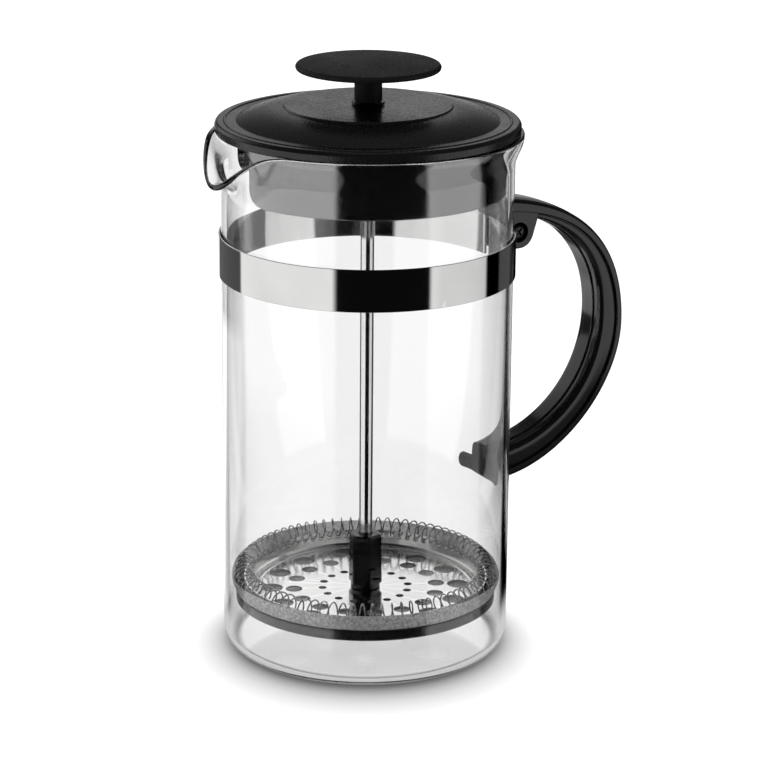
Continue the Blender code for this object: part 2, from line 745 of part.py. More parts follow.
def make_spring_plate(parts, cutters, plunger):
    """Thin steel plate with three rings of flow holes and a leaning rim pierced for the coil."""
    steel = new_material("plate_steel", (0.68, 0.68, 0.67), 0.22, 1.0)
    low = plate_levels()[1]
    points = [
        (PLATE_RIM_R, PLATE_RIM_TOP),
        (PLATE_FLOOR_R + 0.1 * MM, low + 0.7 * MM),
        (PLATE_FLOOR_R - 0.6 * MM, low),
        (ROD_BORE_R, low),
    ]
    plate = turned_part("spring_plate", points, COIL_TURNS // 2, parts, plunger, FILTER_Z, steel, False)
    solidify(plate, PLATE_T)
    flow_holes = {
        "flow_holes_small": (16, 15.0 * MM, 1.4 * MM, 6),
        "flow_holes_medium": (16, 25.0 * MM, 2.9 * MM, 8),
        "flow_holes_large": (14, 32.5 * MM, 3.8 * MM, 8),
    }
    for name, (count, ring_r, radius, segments) in flow_holes.items():
        mesh = rods(ring_of_places(count, ring_r), radius, 12 * MM, segments)
        boolean(plate, as_helper(new_object(name, mesh, cutters, plunger, (0, 0, FILTER_Z))))
    angle = coil_hole_angle()
    hole_r = COIL_RING_R + COIL_R * math.cos(angle)
    hole_z = COIL_Z + COIL_R * math.sin(angle)
    half_step = math.pi / COIL_TURNS
    outwards = Matrix.Rotation(math.pi / 2, 4, "Y")
    places = [place @ outwards for place in ring_of_places(COIL_TURNS, hole_r, half_step)]
    mesh = rods(places, 1.0 * MM, 3 * MM, 6)
    location = (0, 0, FILTER_Z + hole_z)
    boolean(plate, as_helper(new_object("coil_holes", mesh, cutters, plunger, location)))


def make_rim_spring(parts, plunger):
    """A closed ring of fine coil, threaded turn by turn through the spring plate's rim."""
    steel = new_material("spring_wire_steel", (0.6, 0.6, 0.6), 0.2, 1.0)
    per_turn = 6
    start = coil_hole_angle() - math.pi
    curve = bpy.data.curves.new("rim_spring", "CURVE")
    curve.dimensions = "3D"
    curve.bevel_depth = WIRE_R
    curve.bevel_resolution = 0
    spline = curve.splines.new("POLY")
    spline.use_cyclic_u = True
    spline.points.add(COIL_TURNS * per_turn - 1)
    for i, point in enumerate(spline.points):
        around = 2 * math.pi * i / len(spline.points)
        coil = start + 2 * math.pi * i / per_turn
        radius = COIL_RING_R + COIL_R * math.cos(coil)
        point.co = (radius * math.cos(around), radius * math.sin(around), COIL_R * math.sin(coil), 1)
    curve.materials.append(steel)
    new_object("rim_spring", curve, parts, plunger, (0, 0, FILTER_Z + COIL_Z))


def make_support_nut(parts, cutters, plunger):
    steel = new_material("support_nut_steel", (0.6, 0.6, 0.6), 0.3, 1.0)
    thick = 2.4 * MM
    location = (0, 0, FILTER_Z - FIT - thick / 2)
    body = rods([Matrix()], 4.3 * MM, thick, 6)
    nut = new_object("support_nut", body, parts, plunger, location, steel)
    hole = rods([Matrix()], ROD_BORE_R, 2 * thick, 16)
    boolean(nut, as_helper(new_object("support_nut_bore", hole, cutters, plunger, location)))


def main():
    for obj in list(bpy.data.objects):
        bpy.data.objects.remove(obj)
    parts = new_collection(NAME)
    cutters = new_collection("cutters")
    carafe = new_empty("carafe", parts, (0, 0, 0))
    guide = new_empty("guide_axis", parts, (0, 0, LID_TOP))
    lid = new_empty("lid_axis", parts, (0, 0, LID_LOW))
    plunger = new_empty("plunger_axis", parts, (0, 0, 0))

    make_beaker(parts, carafe)
    make_band(parts, cutters, carafe)
    make_handle(parts, cutters, carafe)
    make_clamp_screw(parts, carafe)
    make_washer_and_nut(parts, cutters, carafe)

    groove = make_rod_bush(parts, guide)
    make_bush_clip(parts, cutters, guide, groove)
    make_lid_cover(parts, lid)
    make_lid_skirt(parts, cutters, lid)

    make_knob(parts, plunger)
    make_rod(parts, plunger)
    make_hub(parts, cutters, plunger)
    make_support_plate(parts, cutters, plunger)
    make_mesh_disc(parts, plunger)
    make_spring_plate(parts, cutters, plunger)
    make_rim_spring(parts, plunger)
    make_support_nut(parts, cutters, plunger)


main()
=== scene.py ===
"""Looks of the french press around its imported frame: clear glass, polished steel, brass and black plastic,
on a plain pale floor in a soft studio. Metres, +Z up, handle towards +X, spout towards -X."""

import math

import bmesh
import bpy
from mathutils import Matrix, Vector


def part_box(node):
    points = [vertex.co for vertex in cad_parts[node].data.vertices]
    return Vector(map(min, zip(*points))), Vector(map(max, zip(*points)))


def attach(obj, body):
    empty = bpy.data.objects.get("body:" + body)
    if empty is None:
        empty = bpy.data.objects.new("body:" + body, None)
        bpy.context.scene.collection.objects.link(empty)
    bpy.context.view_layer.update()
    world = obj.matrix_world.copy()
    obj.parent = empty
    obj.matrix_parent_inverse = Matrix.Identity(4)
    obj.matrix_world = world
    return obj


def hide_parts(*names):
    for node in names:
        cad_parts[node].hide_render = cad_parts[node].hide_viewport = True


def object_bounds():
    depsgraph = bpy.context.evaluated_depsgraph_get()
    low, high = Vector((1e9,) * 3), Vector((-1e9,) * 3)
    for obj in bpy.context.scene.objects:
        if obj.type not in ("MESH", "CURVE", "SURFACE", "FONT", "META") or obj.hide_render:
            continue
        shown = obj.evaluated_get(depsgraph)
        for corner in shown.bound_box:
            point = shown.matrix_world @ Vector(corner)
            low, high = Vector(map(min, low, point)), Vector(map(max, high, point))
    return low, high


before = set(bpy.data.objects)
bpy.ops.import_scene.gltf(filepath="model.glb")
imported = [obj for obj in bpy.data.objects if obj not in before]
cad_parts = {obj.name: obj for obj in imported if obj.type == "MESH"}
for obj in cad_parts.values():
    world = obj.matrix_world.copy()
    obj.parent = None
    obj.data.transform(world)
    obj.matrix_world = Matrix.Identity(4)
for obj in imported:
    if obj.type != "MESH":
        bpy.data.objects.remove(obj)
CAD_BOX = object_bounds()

MM = 0.001
FIT = 0.3 * MM  # air between pieces that touch
ROUND_STEPS = 6  # points in each filleted corner
SIDE_SHARE = 0.49  # of an outline's side, the most that one corner's arc takes
SEGMENTS = 224  # round the larger turned pieces
SMALL_SEGMENTS = 96
SHARP_EDGE = math.radians(38)  # edges that turn more than this stay crisp
BAND_THICK = 0.5 * MM
ROD_R = 2.3  # of the rod, in millimetres like the outlines that follow
ROD_BORE = 2.6  # of the holes that it passes through
SLEEVE_SEAT = 3.7  # of the holes that the threaded sleeves sit in


# ---- outlines


def cubic(points, t):
    weights = ((1 - t) ** 3, 3 * t * (1 - t) ** 2, 3 * t * t * (1 - t), t**3)
    return sum((w * Vector(p) for w, p in zip(weights, points)), Vector((0, 0)))


def fillet(before, corner, after, radius):
    """Points of an arc of that radius in the corner, or of the largest that its sides leave room for."""
    back, ahead = (before - corner), (after - corner)
    half = back.angle(ahead) / 2
    reach = min(radius / math.tan(half), SIDE_SHARE * back.length, SIDE_SHARE * ahead.length)
    handle = 4 / 3 * math.tan((math.pi - 2 * half) / 4) * reach * math.tan(half)
    back.normalize()
    ahead.normalize()
    line = (
        corner + back * reach,
        corner + back * (reach - handle),
        corner + ahead * (reach - handle),
        corner + ahead * reach,
    )
    return [cubic(line, i / ROUND_STEPS) for i in range(ROUND_STEPS + 1)]


def rounded(corners, closed=False):
    """A line through (x, y) or (x, y, fillet radius) corners, all in millimetres."""
    points = []
    count = len(corners)
    for i, corner in enumerate(corners):
        here = Vector(corner[:2])
        inside = closed or 0 < i < count - 1
        if len(corner) == 2 or not inside:
            points.append(here)
            continue
        before = Vector(corners[i - 1][:2])
        after = Vector(corners[(i + 1) % count][:2])
        points += fillet(before, here, after, corner[2])
    return [(x * MM, y * MM) for x, y in points]


def arc(centre_x, centre_y, radius, start, end, count):
    """Points (x, y) along an arc, with angles in degrees."""
    angles = [math.radians(start + (end - start) * i / (count - 1)) for i in range(count)]
    return [(centre_x + radius * math.cos(a), centre_y + radius * math.sin(a)) for a in angles]


# ---- meshes


def smooth(mesh):
    mesh.shade_smooth()
    mesh.set_sharp_from_angle(angle=SHARP_EDGE)
    return mesh


def revolve(outline, segments, closed=False):
    """Turns (radius, height) points about Z. Its UV runs round the turn and along the outline, in metres."""
    bm = bmesh.new()
    layer = bm.loops.layers.uv.new("turned")
    rings = []
    on_axis = 1e-7
    for radius, height in outline:
        if radius < on_axis:
            pole = bm.verts.new((0, 0, height))
            rings.append([pole] * segments)
            continue
        angles = (2 * math.pi * j / segments for j in range(segments))
        rings.append([bm.verts.new((radius * math.cos(a), radius * math.sin(a), height)) for a in angles])
    spans = list(zip(range(len(rings)), range(1, len(rings))))
    if closed:
        spans.append((len(rings) - 1, 0))
    run = 0.0
    widest = max(radius for radius, _ in outline)
    for low, high in spans:
        step = (Vector(outline[high]) - Vector(outline[low])).length
        for j in range(segments):
            k = (j + 1) % segments
            start, stop = (2 * math.pi * widest * side / segments for side in (j, j + 1))
            corners = [
                (rings[low][j], (start, run)),
                (rings[low][k], (stop, run)),
                (rings[high][k], (stop, run + step)),
                (rings[high][j], (start, run + step)),
            ]
            unlike = [c for n, c in enumerate(corners) if c[0] is not corners[n - 1][0]]
            face = bm.faces.new([vert for vert, _ in unlike])
            for loop, (_, place) in zip(face.loops, unlike):
                loop[layer].uv = place
        run += step
    bmesh.ops.recalc_face_normals(bm, faces=bm.faces)
    return mesh_of(bm)


def turned_ring(corners, segments=SMALL_SEGMENTS):
    """A piece with a hole through its middle, turned from the corners of its cross-section."""
    return revolve(rounded(corners, closed=True), segments, closed=True)


def mesh_of(bm):
    mesh = bpy.data.meshes.new("mesh")
    bm.to_mesh(mesh)
    bm.free()
    return smooth(mesh)


def loft(rings):
    """A closed body through rings of equally many points, with flat ends."""
    bm = bmesh.new()
    loops = [[bm.verts.new(point) for point in ring] for ring in rings]
    for low, high in zip(loops, loops[1:]):
        for i in range(len(low)):
            j = (i + 1) % len(low)
            bm.faces.new((low[i], low[j], high[j], high[i]))
    bm.faces.new(reversed(loops[0]))
    bm.faces.new(loops[-1])
    bmesh.ops.recalc_face_normals(bm, faces=bm.faces)
    return mesh_of(bm)


def rods(places, radius, depth, segments, top_radius=None):
    """One mesh of separate cylinders along local Z, or of cones, each placed by a matrix."""
    bm = bmesh.new()
    for place in places:
        bmesh.ops.create_cone(
            bm,
            cap_ends=True,
            segments=segments,
            radius1=radius,
            radius2=top_radius or radius,
            depth=depth,
            matrix=place,
        )
    return mesh_of(bm)


def block(size, centre):
    bm = bmesh.new()
    bmesh.ops.create_cube(bm, size=1.0, matrix=Matrix.Translation(centre) @ Matrix.Diagonal((*size, 1.0)))
    return mesh_of(bm)


def in_scene(name, data):
    """A new object that shows the data."""
    obj = bpy.data.objects.new(name, data)
    bpy.context.scene.collection.objects.link(obj)
    return obj


def baked(obj):
    """The mesh that an object's modifiers or curve settings give. The object itself goes."""
    bpy.context.view_layer.update()
    graph = bpy.context.evaluated_depsgraph_get()
    mesh = bpy.data.meshes.new_from_object(obj.evaluated_get(graph))
    bpy.data.objects.remove(obj)
    return smooth(mesh)


def with_modifier(mesh, kind, **settings):
    """The mesh after one modifier."""
    obj = in_scene("work", mesh)
    modifier = obj.modifiers.new(kind.lower(), kind)
    for name, value in settings.items():
        setattr(modifier, name, value)
    return baked(obj)


def carved(mesh, cutter, operation="DIFFERENCE"):
    """The mesh cut by, or joined with, another mesh."""
    tool = in_scene("tool", cutter)
    made = with_modifier(mesh, "BOOLEAN", operation=operation, solver="EXACT", object=tool)
    bpy.data.objects.remove(tool)
    return made


def thickened(mesh, thickness, offset=-1.0):
    """A surface given its thickness, to its inner side unless the offset is 1."""
    return with_modifier(mesh, "SOLIDIFY", thickness=thickness, offset=offset, use_even_offset=True)


def softened(mesh, radius, segments=3, angle=50):
    return with_modifier(
        mesh,
        "BEVEL",
        width=radius,
        segments=segments,
        limit_method="ANGLE",
        angle_limit=math.radians(angle),
        use_clamp_overlap=True,
    )


def raised(height):
    return Matrix.Translation((0, 0, height))


def ring_of_places(count, radius, height, start=0.0):
    """Upright placements spread evenly round a circle."""
    offset = Matrix.Translation((radius, 0, height))
    return [Matrix.Rotation(start + 2 * math.pi * i / count, 4, "Z") @ offset for i in range(count)]


def moved(mesh, matrix):
    mesh.transform(matrix)
    return mesh


# ---- finishes


def add(tree, kind, inputs=None, **settings):
    """A shader node. Each input is a value, or the output socket that feeds it."""
    node = tree.nodes.new("ShaderNode" + kind)
    for name, value in settings.items():
        setattr(node, name, value)
    for name, value in (inputs or {}).items():
        socket = node.inputs[name]
        if isinstance(value, bpy.types.NodeSocket):
            tree.links.new(value, socket)
        else:
            socket.default_value = value
    return node


def math_node(tree, operation, *values):
    return add(tree, "Math", dict(enumerate(values)), operation=operation).outputs[0]


def product(tree, *values):
    return math_node(tree, "MULTIPLY", *values)


def new_finish(name, colour, roughness, **sockets):
    """(material, its tree, its shader) with plain values on the shader's own sockets."""
    material = bpy.data.materials.new(name)
    material.use_nodes = True
    shader = material.node_tree.nodes["Principled BSDF"]
    shader.inputs["Base Color"].default_value = (*colour, 1.0)
    shader.inputs["Roughness"].default_value = roughness
    for socket, value in sockets.items():
        shader.inputs[socket.replace("_", " ")].default_value = value
    return material, material.node_tree, shader


def placed(tree, scale, source="Object"):
    """Texture coordinates stretched by scale."""
    coordinates = add(tree, "TexCoord").outputs[source]
    return add(tree, "Mapping", {"Vector": coordinates, "Scale": scale}).outputs["Vector"]


def noise(tree, vector, scale, detail=3.0):
    return add(tree, "TexNoise", {"Vector": vector, "Scale": scale, "Detail": detail}).outputs["Fac"]


def spread(tree, value, low, high, source=(0.3, 0.7)):
    """Maps a texture's usual range, or another source range, onto low to high."""
    limits = {"From Min": source[0], "From Max": source[1], "To Min": low, "To Max": high}
    return add(tree, "MapRange", {"Value": value, **limits}).outputs["Result"]


def tinted(tree, factor, first, second):
    """A colour between two others, each a plain colour or the output socket that draws it."""
    sides = [side if isinstance(side, bpy.types.NodeSocket) else (*side, 1.0) for side in (first, second)]
    return add(tree, "Mix", {0: factor, 6: sides[0], 7: sides[1]}, data_type="RGBA").outputs[2]


def between(tree, factor, first, second):
    """A value between two others, the same way."""
    return add(tree, "Mix", {0: factor, 2: first, 3: second}).outputs[0]


def times(colour, factor, lift=0.0):
    """A colour made brighter or darker."""
    return tuple(min(1.0, factor * part + lift) for part in colour)


def worn_edges(tree):
    """0 on the flats to 1 on the outer edges."""
    return spread(tree, add(tree, "NewGeometry").outputs["Pointiness"], 0.0, 1.0, (0.53, 0.62))


def bumped(tree, height, strength, distance, under=None):
    inputs = {"Height": height, "Strength": strength, "Distance": distance}
    if under:
        inputs["Normal"] = under
    return add(tree, "Bump", inputs).outputs["Normal"]


def shade(tree, shader, colour, roughness, normal):
    for name, socket in (("Base Color", colour), ("Roughness", roughness), ("Normal", normal)):
        if socket:
            tree.links.new(socket, shader.inputs[name])


def moulded_matte(name, colour, roughness, specular):
    """Spark-grained black plastic, a little paler and smoother where hands rub its edges."""
    material, tree, shader = new_finish(name, colour, roughness, Specular_IOR_Level=specular)
    plain = placed(tree, (1, 1, 1))
    grain = noise(tree, plain, 1500, 2.0)
    pits = add(tree, "TexVoronoi", {"Vector": plain, "Scale": 1300}).outputs["Distance"]
    clouds = noise(tree, plain, 60, 4.0)
    rubbed = product(tree, worn_edges(tree), noise(tree, plain, 240))
    mottled = tinted(tree, clouds, times(colour, 0.75), times(colour, 1.3))
    patchy = spread(tree, clouds, roughness - 0.04, roughness + 0.04)
    speckled = math_node(tree, "ADD", patchy, spread(tree, grain, -0.1, 0.1))
    rough = math_node(tree, "SUBTRACT", speckled, product(tree, rubbed, 0.1))
    normal = bumped(tree, pits, 0.3, 0.07 * MM, bumped(tree, grain, 0.45, 0.09 * MM))
    shade(tree, shader, tinted(tree, rubbed, mottled, times(colour, 2.0, 0.003)), rough, normal)
    return material


def moulded_gloss(name, colour, roughness, specular, **sockets):
    """Shiny black plastic with faint orange peel, hair scratches and finger haze."""
    sockets["Specular_IOR_Level"] = specular
    material, tree, shader = new_finish(name, colour, roughness, **sockets)
    plain = placed(tree, (1, 1, 1))
    haze = noise(tree, plain, 45, 4.0)
    scratches = noise(tree, placed(tree, (40, 900, 160)), 3.0, 2.0)
    scored = math_node(tree, "GREATER_THAN", scratches, 0.74)
    patchy = spread(tree, haze, 0.75 * roughness, 1.35 * roughness)
    rough = math_node(tree, "ADD", patchy, product(tree, scored, 0.012))
    normal = bumped(tree, noise(tree, plain, 420, 1.0), 0.02, 0.04 * MM)
    mottled = tinted(tree, haze, times(colour, 0.8), times(colour, 1.25))
    shade(tree, shader, mottled, rough, normal)
    return material


def worked_metal(name, colour, roughness, lines, depth, source="UV"):
    """Metal with tool or polish lines, smudges and bright edges. Lines says how close they run, by axis."""
    material, tree, shader = new_finish(name, colour, roughness, Metallic=1.0)
    strokes = noise(tree, placed(tree, lines, source), 1.0, 4.0)
    smudges = noise(tree, placed(tree, (1, 1, 1)), 55, 4.0)
    brushed = tinted(tree, smudges, times(colour, 0.84), times(colour, 1.05))
    rubbed = tinted(tree, worn_edges(tree), brushed, times(colour, 1.2))
    fine = spread(tree, strokes, 0.7 * roughness, 1.4 * roughness)
    rough = math_node(tree, "ADD", fine, spread(tree, smudges, 0.0, 0.35 * roughness))
    shade(tree, shader, rubbed, rough, bumped(tree, strokes, 0.3, depth))
    return material


def clear_glass():
    """Borosilicate glass with the faint waves of its drawing. Where it is seen on edge it is painted a touch
    darker, a painted shade for the dark lines along its edges.
    """
    material, tree, shader = new_finish(
        "clear_glass", (1.0, 1.0, 1.0), 0.0, Transmission_Weight=1.0, IOR=1.473
    )
    facing = add(tree, "LayerWeight", {"Blend": 0.5}).outputs["Facing"]
    # painted shade: the glass's colour darkens as it turns edge-on
    colour = tinted(tree, spread(tree, facing, 0.0, 1.0), (0.99, 0.99, 0.99), (0.98, 0.98, 0.98))
    waves = noise(tree, placed(tree, (1, 1, 0.35)), 26, 1.0)
    shade(tree, shader, colour, None, bumped(tree, waves, 0.02, 0.4 * MM))
    return material


def woven_wire(pitch):
    """Plain weave of fine wire, open between its wires. The UV is in metres."""
    material, tree, shader = new_finish("woven_mesh_steel", (0.75, 0.75, 0.74), 0.45, Metallic=0.5)
    steps = placed(tree, (math.pi / pitch,) * 3, "UV")
    parts = add(tree, "SeparateXYZ", {"Vector": steps})
    across = math_node(tree, "COSINE", parts.outputs["X"])
    along = math_node(tree, "COSINE", parts.outputs["Y"])
    crossing = product(tree, across, along)
    over = spread(tree, crossing, 0.1, 1.0, (-1.0, 1.0))
    under = spread(tree, crossing, 1.0, 0.1, (-1.0, 1.0))
    warp = math_node(tree, "POWER", across, 2.0)
    weft = math_node(tree, "POWER", along, 2.0)
    lifted = product(tree, warp, over)
    height = math_node(tree, "MAXIMUM", lifted, product(tree, weft, under))
    wires = math_node(tree, "MAXIMUM", warp, weft)
    tree.links.new(math_node(tree, "GREATER_THAN", wires, 0.6), shader.inputs["Alpha"])
    plain = placed(tree, (1, 1, 1))
    dull = noise(tree, plain, 70)
    clogged = spread(tree, noise(tree, plain, 1100, 2.0), -0.45, 0.45, (0.35, 0.65))
    colour = tinted(tree, math_node(tree, "ADD", dull, clogged), (0.45, 0.45, 0.445), (1.0, 1.0, 0.99))
    rough = spread(tree, dull, 0.35, 0.55)
    shade(tree, shader, colour, rough, bumped(tree, height, 0.9, 0.1 * MM))
    return material


# ---- pieces


def piece(name, mesh, material, body, node):
    """A finished piece that stands for a CAD node and moves with its body."""
    mesh.name = name
    mesh.materials.clear()
    mesh.materials.append(material)
    obj = in_scene(name, mesh)
    weighted = obj.modifiers.new("flat faces stay flat", "WEIGHTED_NORMAL")
    weighted.keep_sharp = True
    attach(obj, body)
    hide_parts(node)
    return obj


def ends(node, axis="z"):
    """Where the node begins and ends along an axis."""
    return [getattr(corner, axis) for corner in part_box(node)]


def levels(node):
    """The node's lowest and highest points, in millimetres."""
    return [height / MM for height in ends(node)]


def radius_of(node):
    """Half the width of a round node, in millimetres."""
    return ends(node, "y")[1] / MM


# ---- carafe

FLARE = 2.9 * MM  # how far the rim turns out beyond the wall
FLARE_LOW = 169.5 * MM
FLARE_HIGH = 179.5 * MM
GLASS_R = ends("glass_beaker", "y")[1] - FLARE
GLASS_H = ends("glass_beaker")[1]
GLASS_WALL = 2.0 * MM
CORNER_R = 5.0 * MM
SPOUT_ROOT = 156.0 * MM
SPOUT_REACH = 9.2 * MM
SPOUT_DROP = 14.0 * MM
SPOUT_HALF_ANGLE = math.radians(37)
SPOUT_LEAN = 2.4  # the higher, the later on its rise the spout leans out
SPOUT_DIP = 2.3  # the higher, the narrower the dip of its lip


def eased(value, low, high):
    """0 below low to 1 above high, with a smooth start and end."""
    share = min(max((value - low) / (high - low), 0.0), 1.0)
    return share * share * (3 - 2 * share)


def shape_rim(mesh):
    """Flares the rim, and around -X draws it out and down into a spout instead."""
    for vertex in mesh.vertices:
        x, y, z = vertex.co
        if z <= SPOUT_ROOT:
            continue
        offset = min(abs(math.atan2(y, -x)) / SPOUT_HALF_ANGLE, 1.0)
        swell = 0.5 + 0.5 * math.cos(math.pi * offset)
        rise = (z - SPOUT_ROOT) / (GLASS_H - SPOUT_ROOT)
        flare = FLARE * (1 - swell) * eased(z, FLARE_LOW, FLARE_HIGH)
        stretch = 1 + (flare + SPOUT_REACH * swell * rise**SPOUT_LEAN) / math.hypot(x, y)
        vertex.co = (x * stretch, y * stretch, z - SPOUT_DROP * swell**SPOUT_DIP * rise**2)


def make_beaker():
    """The outside of an upright wall, a round corner and a flat foot, which then gets its thickness."""
    pull_rows, wall_rows = 30, 10
    pulled = [(GLASS_R, GLASS_H + (SPOUT_ROOT - GLASS_H) * i / pull_rows) for i in range(pull_rows + 1)]
    straight = [(GLASS_R, SPOUT_ROOT + (CORNER_R - SPOUT_ROOT) * i / wall_rows) for i in range(1, wall_rows)]
    corner = arc(GLASS_R - CORNER_R, CORNER_R, CORNER_R, 0, -90, 12)
    foot = [(0.7 * GLASS_R, 0), (0.35 * GLASS_R, 0), (0, 0)]
    mesh = revolve([*pulled, *straight, *corner, *foot], 288)
    shape_rim(mesh)
    mesh = softened(thickened(mesh, GLASS_WALL), 0.85 * MM)
    piece("beaker", mesh, clear_glass(), "carafe", "glass_beaker")


def make_band():
    """The band round the beaker, turned out at its ends into two tabs less tall than itself."""
    low, high = ends("clamp_band")
    tab_low, tab_high = low + 3.5 * MM, high - 1.1 * MM
    end = ends("clamp_band", "x")[1]
    inner = GLASS_R + FIT
    half_gap = 0.5 * MM + BAND_THICK
    bend_r = 1.2 * MM
    turn_x = math.sqrt((inner + bend_r) ** 2 - (half_gap + bend_r) ** 2)
    lean = math.degrees(math.atan2(half_gap + bend_r, turn_x))
    bend = arc(turn_x, half_gap + bend_r, bend_r, 270, 180 + lean, 6)
    ring = arc(0, 0, inner, lean, 360 - lean, 260)
    mirrored = [(x, -y) for x, y in reversed(bend)]
    path = [(end, half_gap), *bend, *ring[1:-1], *mirrored, (end, -half_gap)]
    rows = [low, tab_low, tab_high, high]
    bm = bmesh.new()
    layer = bm.loops.layers.uv.new("turned")
    grid = [[bm.verts.new((x, y, z)) for z in rows] for x, y in path]
    run = 0.0
    for first, second, start, stop in zip(grid, grid[1:], path, path[1:]):
        step = (Vector(stop) - Vector(start)).length
        on_tab = max(start[0], stop[0]) > turn_x + 0.1 * MM
        for row in (1,) if on_tab else (0, 1, 2):
            face = bm.faces.new((first[row], second[row], second[row + 1], first[row + 1]))
            places = ((run, row), (run + step, row), (run + step, row + 1), (run, row + 1))
            for loop, (along, level) in zip(face.loops, places):
                loop[layer].uv = (along, rows[level])
        run += step
    bmesh.ops.delete(bm, geom=[v for v in bm.verts if not v.link_faces], context="VERTS")
    bmesh.ops.recalc_face_normals(bm, faces=bm.faces)
    outward = sum(f.normal.xy.dot(f.calc_center_median().xy) * f.calc_area() for f in bm.faces)
    mesh = thickened(mesh_of(bm), BAND_THICK, 1.0 if outward > 0 else -1.0)
    steel = worked_metal("band_steel", (0.6, 0.6, 0.595), 0.045, (6, 2600, 1), 0.002 * MM)
    piece("band", softened(mesh, 0.12 * MM), steel, "carafe", "clamp_band")


HANDLE_W = 15.0 * MM
CLAMP_X = 56.3 * MM
CLAMP_Z = 139.8 * MM
HEAD_R = 3.3 * MM
SHANK_R = 1.9 * MM
HEAD_SEAT = 4.2 * MM  # how far from the handle's middle plane the screw's head sits
NUT_SEAT = 3.2 * MM  # and the nut's washer, on the other side
NUT_FLATS = 7.0 * MM


def grip_section(outer, inner, rail):
    """One cross-section of the handle: a crowned rail, a groove, and the grip that narrows inwards."""
    inward = (inner - outer).normalized()
    depth = (inner - outer).length
    half = HANDLE_W / MM / 2
    body, tip = half - 0.85, 2.7  # half-widths of the grip at its widest and at its inner edge
    groove = body - 0.5
    step = min(1.0, (depth - rail) / 4.0)  # shrinks the small steps where the grip is shallow
    side = [
        (0, 0), (0.5 * half, 0.1, 4.0), (half, 0.55, 1.5), (half, rail, 0.35),
        (groove, rail + 0.1 * step, 0.2), (groove, rail + 0.7 * step, 0.2),
        (body, rail + 0.75 * step, 0.4),
    ]
    swell = (
        (body, rail + 1.2 * step),
        (body + 0.35, rail + 0.9 * (depth - rail)),
        (0.8 * body + 0.2 * tip, depth - 0.06 * (depth - rail)),
        (tip + 0.15, depth - 0.6 * step),
    )
    side += [tuple(cubic(swell, i / 12)) for i in range(13)]
    side += [(tip - 0.1, depth, 0.45), (0, depth)]
    line = rounded(side)
    mirrored = [(-y, h) for y, h in reversed(line[1:-1])]
    return [Vector((*(outer * MM + h * inward), y)).xzy for y, h in line + mirrored]


def handle_limb():
    """The C-shaped limb, from the head to the foot, between curves of (x, z) in millimetres."""
    outer_line = (
        ((49.0, 153.0), (86.5, 148.6), (101.1, 128.1), (101.1, 102.2)),
        ((101.1, 102.2), (101.1, 77.7), (76.1, 51.4), (49.0, 50.4)),
    )
    inner_line = (
        ((49.0, 147.0), (76.8, 143.4), (90.8, 128.3), (90.8, 106.7)),
        ((90.8, 106.7), (90.8, 83.5), (74.8, 64.7), (49.0, 62.5)),
    )
    head_rail, thinnest_rail = 5.0, 3.0
    steps = 40
    rings = []
    for i in range(2 * steps + 1):
        span = min(i // steps, 1)
        share = i / steps - span
        along = i / (2 * steps)
        thinning = (head_rail - thinnest_rail) * math.sin(math.pi * min(along / 0.6, 1.0) / 2)
        rail = head_rail - thinning + 1.2 * max(along - 0.7, 0)
        rings.append(grip_section(cubic(outer_line[span], share), cubic(inner_line[span], share), rail))
    return loft(rings)


def lug_block():
    """The block under the rail, with a round lower corner, that the slot parts into two lugs."""
    outline = rounded([(47, 149), (47, 134), (60.9, 134, 5.5), (64.3, 145, 4.0), (65.1, 148)])
    half = HANDLE_W / 2 - 0.4 * MM
    mesh = loft([[Vector((x, y, z)) for x, z in outline] for y in (-half, half)])
    return softened(mesh, 0.6 * MM)


def foot_fingers():
    """A rounded bar that follows the beaker's wall to both sides of the handle's foot."""
    centre_r = GLASS_R + FIT + 0.8 * MM
    centre_z = 53.4 * MM
    half_depth, half_height = 1.7 * MM, 2.8 * MM
    half_angle = math.radians(16.3)
    sections, points = 56, 28
    rings = []
    for i in range(sections + 1):
        lean = math.pi * (i / sections - 0.5)
        scale = 0.05 + 0.95 * min(1.0, 2.2 * max(math.cos(lean), 0.0)) ** 0.6
        turn = half_angle * math.sin(lean)
        ring = []
        for j in range(points):
            angle = 2 * math.pi * j / points
            radius = centre_r + scale * half_depth * math.cos(angle)
            height = centre_z + scale * half_height * math.sin(angle)
            ring.append(Vector((radius * math.cos(turn), radius * math.sin(turn), height)))
        rings.append(ring)
    return loft(rings)


def on_screw_axis(y, turn=90):
    """A place on the clamp screw's axis, with local Z towards -Y, or towards +Y at a turn of -90."""
    return Matrix.Translation((CLAMP_X, y, CLAMP_Z)) @ Matrix.Rotation(math.radians(turn), 4, "X")


def make_handle():
    mesh = handle_limb()
    mesh = carved(mesh, lug_block(), "UNION")
    mesh = carved(mesh, foot_fingers(), "UNION")
    deep, tall = 10 * MM, 60 * MM
    round_band = rods([raised(145 * MM)], GLASS_R + BAND_THICK + 3 * FIT, tall, 256)
    round_glass = rods([raised(60 * MM)], GLASS_R + FIT, tall, 256)
    tab_slot = softened(block((20 * MM, 3 * MM, 20 * MM), (55 * MM, 0, 136 * MM)), 0.4 * MM)
    bore = rods([on_screw_axis(0)], SHANK_R + FIT, 30 * MM, 32)
    head_pocket = rods([on_screw_axis(-HEAD_SEAT - deep / 2)], HEAD_R + FIT, deep, 64)
    nut_pocket = rods([on_screw_axis(NUT_SEAT + deep / 2)], hex_radius(NUT_FLATS + 2 * FIT), deep, 6)
    for cutter in (round_band, round_glass, tab_slot, bore, head_pocket, nut_pocket):
        mesh = carved(mesh, cutter)
    plastic = moulded_gloss("handle_gloss_plastic", (0.003, 0.003, 0.0031), 0.1, 0.5)
    piece("handle_grip", mesh, plastic, "carafe", "handle")


def hex_radius(flats):
    return flats / 2 / math.cos(math.pi / 6)


